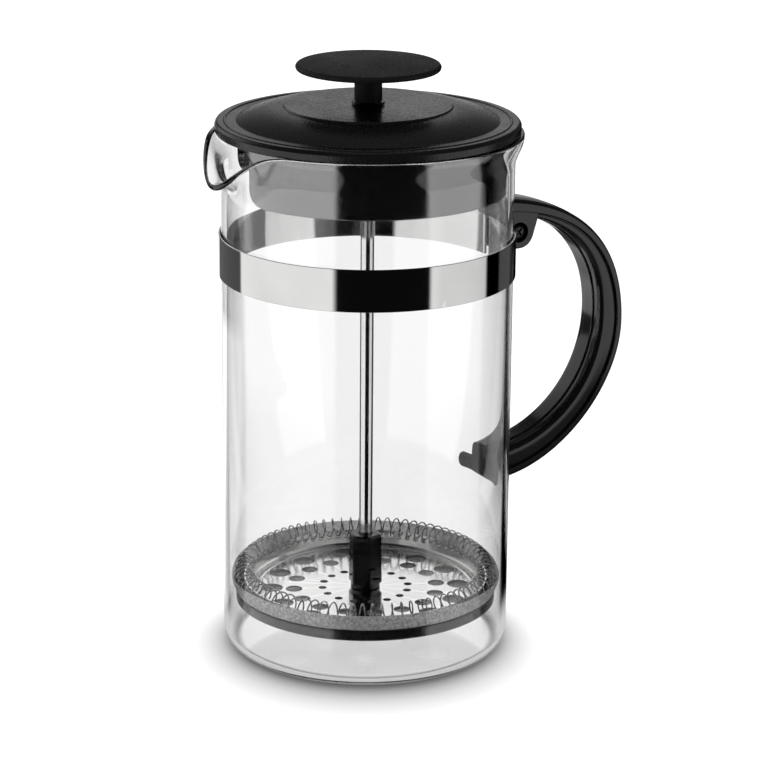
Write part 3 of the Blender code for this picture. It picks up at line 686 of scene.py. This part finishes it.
def make_clamp_hardware():
    """A cross-recessed screw from the -Y side, with its washer and nut on the other side."""
    black = (0.06, 0.06, 0.06)
    zinc = worked_metal("black_zinc_steel", black, 0.3, (900, 900, 900), 0.01 * MM, "Object")
    front, back = ends("clamp_screw", "y")
    head, head_r, shank_r = 2.2, HEAD_R / MM, SHANK_R / MM
    shank = (back - front) / MM - head
    outline = [
        (0, head), (2.2, head - 0.15, 3.0), (head_r, 0.5 * head, 0.8), (head_r, 0, 0.2),
        (shank_r, 0, 0.1), (shank_r, 0.4 - shank), (shank_r - 0.4, -shank), (0, -shank),
    ]
    mesh = revolve(rounded(outline), SMALL_SEGMENTS)
    for angle in (math.pi / 4, -math.pi / 4):
        blade = block((3.4 * MM, 0.8 * MM, 2.4 * MM), (0, 0, head * MM))
        mesh = carved(mesh, moved(blade, Matrix.Rotation(angle, 4, "Z")))
    mesh = moved(mesh, on_screw_axis(front + head * MM))
    piece("screw", mesh, zinc, "carafe", "clamp_screw")

    low, high = ends("clamp_washer", "y")
    outer, bore, thick = 3.5, 2.2, (high - low) / MM
    outline = [(outer, 0, 0.15), (outer, thick, 0.15), (bore, thick, 0.1), (bore, 0, 0.1)]
    mesh = moved(turned_ring(outline), on_screw_axis(low, -90))
    piece("washer", mesh, zinc, "carafe", "clamp_washer")

    low, high = ends("clamp_nut", "y")
    mesh = make_nut(hex_radius(NUT_FLATS), high - low, SHANK_R + FIT)
    mesh = moved(mesh, on_screw_axis((low + high) / 2))
    piece("nut", mesh, zinc, "carafe", "clamp_nut")


def make_nut(radius, thick, bore_r):
    """A hexagon nut with chamfered corners and a countersunk bore, centred on the origin."""
    top, corner, bore = thick / MM / 2, radius / MM, bore_r / MM
    flat, past = corner - 0.55, corner + 0.4
    crown = [(0, top), (flat, top), (past, top - 0.6), (past, 0.6 - top), (flat, -top), (0, -top)]
    sunk, end = bore + 1.3, top + 1
    drill = [(0, end), (sunk, end), (bore, top - 0.3), (bore, 0.3 - top), (sunk, -end), (0, -end)]
    mesh = carved(rods([Matrix()], radius, thick, 6), revolve(rounded(crown), 72), "INTERSECT")
    return carved(mesh, revolve(rounded(drill), 48))


# ---- lid and its bush


def make_lid():
    low, high = levels("lid_cover")
    rim = radius_of("lid_cover")
    bore, disc_r, slope_r, bead = 4.9, 28.3, 44.0, 47.2
    flange, roof = low + 3.8, high - 2.0
    run = slope_r - disc_r
    fall = high - 0.55 - flange
    slope = [(disc_r + run * u, flange + fall * (1 - u**1.6)) for u in (i / 14 for i in range(1, 14))]
    outer = [
        (bore, high, 0.15), (disc_r - 0.2, high, 0.3), (disc_r, high - 0.5, 0.2), *slope,
        (slope_r, flange, 0.6), (bead, flange, 0.1), (bead + 0.3, flange + 0.28, 0.15),
        (bead + 0.7, flange + 0.28, 0.15), (bead + 1.0, flange, 0.1), (rim - 0.75, flange, 0.9),
        (rim, flange - 1.1, 0.9), (rim - 0.15, low, 0.5),
    ]
    under = [
        (42.2, low, 0.3), (41.2, flange - 2.0, 0.6), (34.7, 0.5 * (flange + high) - 2.4, 4.0),
        (disc_r - 1.0, roof, 1.0), (bore, roof, 0.1),
    ]
    mesh = turned_ring(outer + under, SEGMENTS)
    plastic = moulded_matte("lid_matte_plastic", (0.004, 0.004, 0.004), 0.26, 0.38)
    piece("lid", mesh, plastic, "lid", "lid_cover")


NOTCH_TURN = math.radians(158)  # round from the handle, a little short of the spout


def notch_outline(height):
    """Half-widths of the pouring notch against height, flared at the skirt's round lower corners."""
    wide, narrow, corner = 28.6, 20.3, 8.0
    side = rounded([(0, height), (narrow, height, 3.0), (narrow, corner)])
    for i in range(1, 13):
        fall = i / 12
        flare = (wide - narrow) * (1 - math.sqrt(1 - fall**2))
        side.append(((narrow + flare) * MM, corner * (1 - fall) * MM))
    side.append((wide * MM, -5 * MM))
    return side + [(-half, z) for half, z in reversed(side[1:])]


def make_skirt():
    low, high = levels("lid_skirt")
    radius = -ends("lid_skirt", "y")[0] / MM
    wall, lip = 1.8, 2.0
    inner = radius - wall
    outline = [
        (radius, high, 0.1), (radius, low, 0.5), (inner, low, 0.5), (inner, high - wall, 0.8),
        (inner - lip, high - 1.5, 0.2), (inner - lip, high, 0.1),
    ]
    mesh = turned_ring(outline, SEGMENTS)
    notch = notch_outline(high - low - 1.9)
    cutter = loft([[Vector((x * MM, y, low * MM + z)) for y, z in notch] for x in (25, 60)])
    mesh = carved(mesh, moved(cutter, Matrix.Rotation(NOTCH_TURN, 4, "Z")))
    plastic = moulded_gloss("skirt_gloss_plastic", (0.006, 0.006, 0.0065), 0.1, 0.9, IOR=2.0)
    piece("skirt", mesh, plastic, "lid", "lid_skirt")


def make_bush():
    """The bush that the rod slides in, and the clip that holds it under the lid."""
    low, high = levels("rod_bush")
    seat = levels("lid_cover")[1] + 0.3
    collar, body, groove_r = 5.5, 4.6, 3.8
    groove_top, groove_low = seat - 2.9, seat - 4.2
    outline = [
        (ROD_BORE, high, 0.25), (collar, high, 0.3), (collar, seat, 0.1), (body, seat, 0.1),
        (body, groove_top, 0.1), (groove_r, groove_top, 0.1), (groove_r, groove_low, 0.1),
        (body, groove_low, 0.1), (body, low, 0.4), (ROD_BORE, low, 0.3),
    ]
    steel = worked_metal("bush_steel", (0.05, 0.05, 0.05), 0.3, (40, 3000, 1), 0.004 * MM)
    piece("bush", turned_ring(outline), steel, "guide", "rod_bush")

    low, high = levels("bush_clip")
    outer, inner = radius_of("bush_clip"), groove_r + 0.3
    outline = [(outer, high, 0.15), (outer, low, 0.15), (inner, low, 0.1), (inner, high, 0.1)]
    mouth = block((10 * MM, 5 * MM, 6 * MM), (-6 * MM, 0, high * MM))
    spring = worked_metal("clip_steel", (0.33, 0.33, 0.33), 0.32, (60, 3000, 1), 0.004 * MM)
    piece("clip", carved(turned_ring(outline), mouth), spring, "guide", "bush_clip")


# ---- plunger


def make_knob():
    low, high = levels("plunger_knob")
    radius = ends("plunger_knob", "x")[1] / MM
    stem, seat_top = 4.65, low + 7.6
    rim_low = high - 3.1
    outline = [
        (0, high), (0.25 * radius, high - 0.06), (0.45 * radius, high - 0.22),
        (0.68 * radius, high - 0.5), (0.86 * radius, high - 0.85), (radius - 0.6, high - 1.15, 0.8),
        (radius, high - 2.0, 0.7), (radius - 0.35, rim_low, 0.7),
        (0.5 * radius, rim_low - 0.5, 4.0), (stem + 0.9, rim_low - 1.1, 2.2),
        (stem, rim_low - 3.6, 1.5), (stem, low, 0.3), (SLEEVE_SEAT, low, 0.1),
        (SLEEVE_SEAT, seat_top, 0.2), (0, seat_top),
    ]
    mesh = revolve(rounded(outline), SEGMENTS)
    plastic = moulded_matte("knob_matte_plastic", (0.006, 0.006, 0.006), 0.55, 0.16)
    piece("knob", mesh, plastic, "plunger", "plunger_knob")


def make_rod():
    low, high = levels("plunger_rod")
    chamfer = 0.4
    end = ROD_R - chamfer
    side = [(ROD_R, high - chamfer, 0.3), (ROD_R, low + chamfer, 0.3)]
    mesh = revolve(rounded([(0, high), (end, high), *side, (end, low), (0, low)]), SMALL_SEGMENTS)
    steel = worked_metal("rod_steel", (0.72, 0.72, 0.71), 0.06, (5000, 12, 1), 0.002 * MM)
    piece("rod", mesh, steel, "plunger", "plunger_rod")


def make_inserts():
    brass = worked_metal("insert_brass", (0.6, 0.42, 0.16), 0.28, (80, 2400, 1), 0.004 * MM)
    for name, node in (("hub_sleeve", "hub_insert"), ("knob_sleeve", "knob_insert")):
        low, high = levels(node)
        outer = SLEEVE_SEAT - 0.3
        outline = [(outer, high, 0.2), (outer, low, 0.2), (ROD_BORE, low, 0.2), (ROD_BORE, high, 0.2)]
        piece(name, turned_ring(outline), brass, "plunger", node)


def make_hub():
    """A hexagonal body that tapers upwards, on a round neck."""
    low, high = ends("filter_hub")
    neck_h, seat_h = 1.4 * MM, 14 * MM
    radius, taper = 6.1 * MM, 0.3 * MM
    tall = high - low - neck_h
    upright = raised(low + neck_h + tall / 2) @ Matrix.Rotation(math.radians(45), 4, "Z")
    mesh = softened(rods([upright], radius, tall, 6, radius - taper), 0.75 * MM, 5, 25)
    neck = rods([raised(low + neck_h)], radius - 1.0 * MM, 2 * neck_h, 64)
    mesh = carved(mesh, neck, "UNION")
    mesh = carved(mesh, rods([raised(low)], ROD_BORE * MM, 60 * MM, 48))
    mesh = carved(mesh, rods([raised(low)], SLEEVE_SEAT * MM, 2 * seat_h, 48))
    plastic = moulded_gloss("hub_plastic", (0.004, 0.004, 0.0042), 0.1, 0.5)
    piece("hub", mesh, plastic, "plunger", "filter_hub")


PLATE_HOLES = ((16, 15.0, 1.4), (16, 25.0, 2.9), (14, 32.5, 3.8))  # count, ring radius, hole radius
PLATE_THICK = 0.5
PLATE_RIM = 7.6  # the top of the plate's rim above the support plate's foot
PLATE_RIM_R = 42.26
PLATE_RIM_LEAN = 1.06  # how much wider the rim is at its top than at the plate's level
COIL_TURNS = 80
COIL_RING_R = 42.3 * MM
COIL_R = 3.2 * MM
WIRE_R = 0.26 * MM


def make_support():
    low, high = levels("support_plate")
    radius = radius_of("support_plate")
    floor = low + 1.0
    outline = [
        (radius, high, 0.4), (radius, low, 0.6), (ROD_BORE, low, 0.2), (ROD_BORE, floor, 0.2),
        (radius - 1.9, floor, 0.3), (radius - 1.6, high, 0.4),
    ]
    mesh = turned_ring(outline, SEGMENTS)
    windows = rods(ring_of_places(8, 27 * MM, low * MM), 7.5 * MM, 10 * MM, 64)
    mesh = carved(mesh, windows)
    plastic = moulded_gloss("support_plastic", (0.009, 0.009, 0.0095), 0.16, 0.8)
    piece("support", mesh, plastic, "plunger", "support_plate")


def make_mesh():
    """A disc of woven wire with a turned-up rim that leans against the glass."""
    base = levels("support_plate")[0]
    disc, step = base + 1.3, base + 3.9
    outline = [
        (46.6, base + 9.6), (46.35, base + 7.8), (45.35, base + 4.7, 1.0), (44.9, step, 0.4),
        (42.9, step, 0.4), (42.6, base + 3.1, 0.4), (42.3, disc, 0.5), (30.0, disc),
        (ROD_BORE, disc),
    ]
    mesh = thickened(revolve(rounded(outline), SEGMENTS), 0.28 * MM)
    piece("filter_mesh", mesh, woven_wire(0.42 * MM), "plunger", "mesh_disc")


def make_spring_plate():
    """A pressed plate with a ridge, flow holes, and a rim of small holes that the coil runs through."""
    low = levels("spring_plate")[0]
    ridge = low + 0.35
    outline = [
        (PLATE_RIM_R, levels("support_plate")[0] + PLATE_RIM), (41.35, low + 1.0, 0.8),
        (40.6, low, 0.6), (39.2, low, 0.4), (38.7, ridge, 0.3), (37.7, ridge, 0.3),
        (37.2, low, 0.4), (20.0, low), (ROD_BORE, low),
    ]
    mesh = thickened(revolve(rounded(outline), 240), PLATE_THICK * MM)
    for count, ring_r, hole_r in PLATE_HOLES:
        places = ring_of_places(count, ring_r * MM, low * MM)
        mesh = carved(mesh, rods(places, hole_r * MM, 6 * MM, 32))
    angle = coil_hole_angle()
    ring_r = COIL_RING_R + COIL_R * math.cos(angle)
    ring_z = coil_height() + COIL_R * math.sin(angle)
    outwards = Matrix.Rotation(math.pi / 2, 4, "Y")
    ring = ring_of_places(COIL_TURNS, ring_r, ring_z, math.pi / COIL_TURNS)
    mesh = carved(mesh, rods([place @ outwards for place in ring], 1.0 * MM, 3 * MM, 16))
    steel = worked_metal("plate_steel", (0.9, 0.9, 0.89), 0.12, (60, 1500, 1), 0.003 * MM)
    piece("flow_plate", mesh, steel, "plunger", "spring_plate")


def coil_height():
    return sum(ends("rim_spring")) / 2


def coil_hole_angle():
    """Angle on the coil's circle, from outwards, where the wire passes the plate's leaning rim."""
    plate_low = ends("spring_plate")[0]
    rim_top = ends("support_plate")[0] + PLATE_RIM * MM
    lean = PLATE_RIM_LEAN * MM / (rim_top - plate_low)
    middle_r = (PLATE_RIM_R - PLATE_RIM_LEAN - PLATE_THICK / 2) * MM
    angle = -math.pi / 2
    for _ in range(20):
        radius = middle_r + lean * (coil_height() + COIL_R * math.sin(angle) - plate_low)
        angle = -math.acos((radius - COIL_RING_R) / COIL_R)
    return angle


def make_coil():
    """A closed ring of fine coil, threaded turn by turn through the plate's rim."""
    per_turn = 22
    begin = coil_hole_angle() - math.pi
    curve = bpy.data.curves.new("coil", "CURVE")
    curve.dimensions = "3D"
    curve.bevel_depth = WIRE_R
    curve.bevel_resolution = 2
    spline = curve.splines.new("POLY")
    spline.use_cyclic_u = True
    spline.points.add(COIL_TURNS * per_turn - 1)
    for i, point in enumerate(spline.points):
        around = 2 * math.pi * i / len(spline.points)
        coil = begin + 2 * math.pi * i / per_turn
        radius = COIL_RING_R + COIL_R * math.cos(coil)
        point.co = (radius * math.cos(around), radius * math.sin(around), COIL_R * math.sin(coil), 1)
    mesh = moved(baked(in_scene("coil", curve)), raised(coil_height()))
    grey = (0.42, 0.42, 0.415)
    steel = worked_metal("wire_steel", grey, 0.07, (700, 700, 700), 0.003 * MM, "Object")
    piece("edge_coil", mesh, steel, "plunger", "rim_spring")


def make_support_nut():
    low, high = ends("support_nut")
    mesh = moved(make_nut(4.3 * MM, high - low, ROD_BORE * MM), raised((low + high) / 2))
    grey = (0.5, 0.5, 0.49)
    steel = worked_metal("nut_steel", grey, 0.25, (900, 900, 900), 0.006 * MM, "Object")
    piece("end_nut", mesh, steel, "plunger", "support_nut")


# ---- studio

VIEW_TURN = math.radians(30)  # the camera stands this far round from -Y, towards -X
CAMERA_BACK = 945.05 * MM
CAMERA_HEIGHT = 389.96 * MM
CAMERA_PITCH = math.radians(17.43)
CAMERA_YAW = math.radians(0.279)
CAMERA_ROLL = math.radians(0.432)
LENS = 137.36

# Brightness that polished surfaces reflect, by degrees round from the camera, positive to its right.
LOW_TONES = (
    (-180, 0.85), (-163, 0.85), (-161, 0.0), (-156, 0.14), (-114.8, 0.1), (-112.8, 1.3), (-26.8, 1.3),
    (-23, 0.005), (47.8, 0.005), (51, 1.25), (59, 1.08), (94, 1.02), (103, 0.9), (105, 0.0),
    (121, 0.0), (124, 0.1), (143.5, 0.1), (146.5, 0.0), (173, 0.0), (176, 0.85), (180, 0.85),
)
# A low card to the left behind the object, which only surfaces in the open show.
CARD_TONES = ((-180, 0.75), (-158, 0.8), (-148, 1.35), (-112, 1.35), (-106, 0.0), (176, 0.0), (180, 0.75))
# The same above the horizon, for surfaces in the open.
OPEN_TONES = (
    (-180, 0.6), (-174, 0.45), (-168, 0.17), (-158, 0.07), (-152, 0.07), (-145, 0.9),
    (-112, 0.9), (-105, 0.05), (-60, 0.03), (-30, 0.004), (40, 0.004), (60, 0.03),
    (158, 0.07), (168, 0.15), (174, 0.45), (180, 0.6),
)
# The same, for surfaces inside the glass.
MID_TONES = (
    (-180, 1.05), (-150, 0.95), (-128, 0.65), (-100, 0.55), (-45, 0.5), (-28, 0.01),
    (40, 0.01), (58, 0.7), (100, 0.75), (128, 0.75), (150, 0.95), (180, 1.05),
)
# The same, well above the object.
HIGH_TONES = ((-180, 0.3), (-90, 0.06), (-40, 0.005), (40, 0.005), (90, 0.1), (180, 0.3))
# The same for what the glass bends: bright, with thin dark gaps that draw its edges.
GLASS_TONES = (
    (-180, 1.0), (-168, 1.0), (-158, 0.97), (-152, 0.8), (-147, 0.97), (-126, 0.97), (-118, 0.85),
    (-106, 0.85), (-98, 1.0), (98, 1.0), (106, 0.9), (118, 0.9), (126, 0.95), (145, 0.95),
    (147.5, 0.1), (154, 0.1), (156.5, 0.95), (166, 0.97), (180, 1.0),
)
# Painted shadow, with painted light inside the ring: the floor's brightness by millimetres out from the
# beaker's contact ring, measured at its sides.
PAINTED_SHADOW_TONES = (
    (-20, 1.15), (-1.6, 1.1), (-0.4, 0.4), (0.5, 0.11), (1.75, 0.19), (3, 0.31),
    (5.5, 0.53), (8, 0.68), (10.5, 0.79), (14, 0.91), (18, 1.05), (20, 1.05),
)
CONTACT_R = 44.5 * MM
WHITE = 1.25  # the studio's plain light
THROUGH_GLASS_LOSS = 0.17
BRIGHTEST = 1.5  # no tone is above this
# Distances out from the object, in metres, over which the floor changes.
UNDERNEATH = (0.06, 0.075)  # plain grey inside, panels outside
LIT_BY_BENDS = (0.12, 0.2)  # plain white inside, glass tones outside
NEAR_DARK = (0.3, 0.37)  # panels dimmed inside for surfaces in the open
CARD_END = (0.4, 0.44)
# Heights above the horizon, as the sine of their angle.
HIGH_START = (0.45, 0.75)
CEILING_START = (0.94, 0.98)


def tone_ramp(tree, turn, tones):
    """A brightness looked up by a value from -1 to 1, over the whole span of the tones' places."""
    ramp = add(tree, "ValToRGB", {"Fac": spread(tree, turn, 0.0, 1.0, (-1.0, 1.0))})
    elements = ramp.color_ramp.elements
    elements.remove(elements[1])
    first, last = tones[0][0], tones[-1][0]
    for i, (angle, tone) in enumerate(tones):
        spot = (angle - first) / (last - first)
        element = elements[0] if i == 0 else elements.new(spot)
        element.position = spot
        element.color = (*(tone / BRIGHTEST,) * 3, 1.0)
    return product(tree, ramp.outputs["Color"], BRIGHTEST)


def turn_from_camera(tree, vector):
    """How far round from the camera's side a direction or place lies, as -1 to 1. Then its height,
    its distance out, and how far it lies towards that side."""
    inputs = {"Vector": vector, "Angle": VIEW_TURN}
    rotated = add(tree, "VectorRotate", inputs, rotation_type="Z_AXIS").outputs["Vector"]
    parts = add(tree, "SeparateXYZ", {"Vector": rotated})
    x, y, z = (parts.outputs[axis] for axis in "XYZ")
    towards = product(tree, y, -1.0)
    angle = math_node(tree, "ARCTAN2", x, towards)
    squares = [product(tree, side, side) for side in (x, y)]
    out = math_node(tree, "SQRT", math_node(tree, "ADD", *squares))
    return math_node(tree, "DIVIDE", angle, math.pi), z, out, towards


def deeper(tree, kind, count):
    """1 on light paths that have had more meetings of one kind than the count."""
    depth = add(tree, "LightPath").outputs[kind + " Depth"]
    return math_node(tree, "GREATER_THAN", depth, count + 0.5)


def mirrored(tree):
    """1 on light paths that have met a polished surface."""
    return deeper(tree, "Glossy", 0)


def through_glass(tree):
    """1 on light paths that have passed through glass."""
    return deeper(tree, "Transmission", 0)


def unless(tree, value, excluded):
    """The value, or 0 where excluded is 1."""
    return product(tree, value, math_node(tree, "SUBTRACT", 1.0, excluded))


def after_mirror(tree, turn):
    """1 on light paths that have met a polished surface, but not on those that only run along inside
    the glass wall and out behind it."""
    one_wall = unless(tree, through_glass(tree), deeper(tree, "Transmission", 2))
    behind = math_node(tree, "GREATER_THAN", math_node(tree, "ABSOLUTE", turn), 0.8)
    return unless(tree, mirrored(tree), product(tree, one_wall, behind))


def bent(tree, turn, share):
    """The plain light's level, drawn with the glass tones for what comes through glass, and there a
    little less."""
    through = through_glass(tree)
    dimming = product(tree, unless(tree, through, mirrored(tree)), THROUGH_GLASS_LOSS * WHITE)
    drawn = product(tree, tone_ramp(tree, turn, GLASS_TONES), WHITE)
    level = between(tree, product(tree, through, share), WHITE, drawn)
    return math_node(tree, "MAXIMUM", math_node(tree, "SUBTRACT", level, dimming), 0.0)


def make_world():
    """White all round for the eye and for matt surfaces. Panels and dark gaps for what mirrors show."""
    world = bpy.data.worlds.new("studio")
    world.use_nodes = True
    bpy.context.scene.world = world
    tree = world.node_tree
    turn, height, _, _ = turn_from_camera(tree, add(tree, "TexCoord").outputs["Generated"])
    through = through_glass(tree)
    middle = between(tree, through, tone_ramp(tree, turn, OPEN_TONES), tone_ramp(tree, turn, MID_TONES))
    dimmed = spread(tree, through, 0.35, 1.0, (0.0, 1.0))
    high = product(tree, tone_ramp(tree, turn, HIGH_TONES), dimmed)
    panels = between(tree, spread(tree, height, 0.0, 1.0, HIGH_START), middle, high)
    panels = math_node(tree, "ADD", panels, spread(tree, height, 0.0, 0.4, CEILING_START))
    strength = between(tree, after_mirror(tree, turn), bent(tree, turn, 1.0), panels)
    tree.links.new(strength, tree.nodes["Background"].inputs["Strength"])
    tree.nodes["Background"].inputs["Color"].default_value = (1, 1, 1, 1)
    world.cycles.sampling_method = "NONE"


def floor_panels(tree, turn, reach):
    """The panels as polished surfaces see them low down. They lie on the floor, so a lead that grows
    near the object makes their place on it read as a direction from the object's side."""
    lever = math_node(tree, "MINIMUM", math_node(tree, "DIVIDE", GLASS_R, reach), 0.9)
    leaning = math_node(tree, "SINE", product(tree, turn, math.pi / 2))
    lead = math_node(tree, "DIVIDE", product(tree, lever, leaning), math.pi)
    low = tone_ramp(tree, math_node(tree, "ADD", turn, lead), LOW_TONES)
    dimmed = product(tree, low, spread(tree, reach, 0.12, 1.0, NEAR_DARK))
    card = product(tree, tone_ramp(tree, turn, CARD_TONES), spread(tree, reach, 1.0, 0.0, CARD_END))
    in_open = math_node(tree, "MAXIMUM", dimmed, card)
    panels = between(tree, through_glass(tree), in_open, low)
    return between(tree, spread(tree, reach, 0.0, 1.0, UNDERNEATH), 0.6, panels)


def mixed(tree, factor, first, second):
    """A shader between two others."""
    return add(tree, "MixShader", {0: factor, 1: first.outputs[0], 2: second.outputs[0]})


def make_floor():
    bm = bmesh.new()
    bmesh.ops.create_circle(bm, cap_ends=True, radius=8.0, segments=96)
    mesh = bpy.data.meshes.new("floor")
    bm.to_mesh(mesh)
    bm.free()
    floor = in_scene("floor", mesh)
    floor.location.z = min(CAD_BOX[0].z, 0.0) - 0.05 * MM

    pale, dark = (0.92, 0.92, 0.92), (0.08, 0.08, 0.08)
    material, tree, shader = new_finish("pale_floor", pale, 0.8, Specular_IOR_Level=0.0)
    material.cycles.emission_sampling = "NONE"
    mesh.materials.append(material)
    turn, _, reach, towards = turn_from_camera(tree, add(tree, "TexCoord").outputs["Object"])
    # painted shadow round the beaker's foot and painted light under it, in both the floor's colour and its
    # glow
    contact = painted_contact_shadow(tree, reach, towards)
    tree.links.new(tinted(tree, contact, dark, pale), shader.inputs["Base Color"])
    far = spread(tree, reach, 0.0, 1.0, LIT_BY_BENDS)
    lit = product(tree, bent(tree, turn, far), contact)
    plain = mixed(tree, 0.3, add(tree, "Emission", {"Strength": lit}), shader)
    glow = add(tree, "Emission", {"Strength": floor_panels(tree, turn, reach)})
    seen = mixed(tree, after_mirror(tree, turn), plain, glow)
    back = add(tree, "NewGeometry").outputs["Backfacing"]
    both = mixed(tree, back, seen, add(tree, "BsdfTransparent"))
    tree.links.new(both.outputs[0], tree.nodes["Material Output"].inputs["Surface"])


def painted_contact_shadow(tree, reach, towards):
    """The painted shadow where the beaker stands: a soft dark ring, wider towards the camera's side."""
    front = math_node(tree, "DIVIDE", towards, reach)
    narrowing = math_node(tree, "SUBTRACT", 1.0, product(tree, front, 0.5))
    out = math_node(tree, "SUBTRACT", reach, CONTACT_R)
    span = PAINTED_SHADOW_TONES[-1][0] * MM
    drawn = math_node(tree, "DIVIDE", product(tree, out, narrowing), span)
    return tone_ramp(tree, drawn, PAINTED_SHADOW_TONES)


def make_camera():
    data = bpy.data.cameras.new("camera")
    data.sensor_width = 36.0
    data.lens = LENS
    data.clip_start, data.clip_end = 0.01, 40.0
    level = math.cos(CAMERA_PITCH)
    ahead = Vector((math.sin(CAMERA_YAW) * level, math.cos(CAMERA_YAW) * level, -math.sin(CAMERA_PITCH)))
    right = Vector((math.cos(CAMERA_YAW), -math.sin(CAMERA_YAW), 0))
    up = right.cross(ahead)
    rolled_right = math.cos(CAMERA_ROLL) * right + math.sin(CAMERA_ROLL) * up
    rolled_up = math.cos(CAMERA_ROLL) * up - math.sin(CAMERA_ROLL) * right
    axes = Matrix((rolled_right, rolled_up, -ahead)).transposed().to_4x4()
    place = Matrix.Translation((0, -CAMERA_BACK, CAMERA_HEIGHT)) @ axes
    camera = in_scene("camera", data)
    camera.matrix_world = Matrix.Rotation(-VIEW_TURN, 4, "Z") @ place
    bpy.context.scene.camera = camera


def set_light_paths():
    scene = bpy.context.scene
    scene.view_settings.view_transform = "Standard"
    bounces = {"max": 20, "transmission": 20, "glossy": 8, "diffuse": 3, "transparent_max": 16}
    for kind, count in bounces.items():
        setattr(scene.cycles, kind + "_bounces", count)


make_beaker()
make_band()
make_handle()
make_clamp_hardware()
make_lid()
make_skirt()
make_bush()
make_knob()
make_rod()
make_inserts()
make_hub()
make_support()
make_mesh()
make_spring_plate()
make_coil()
make_support_nut()
make_world()
make_floor()
make_camera()
set_light_paths()
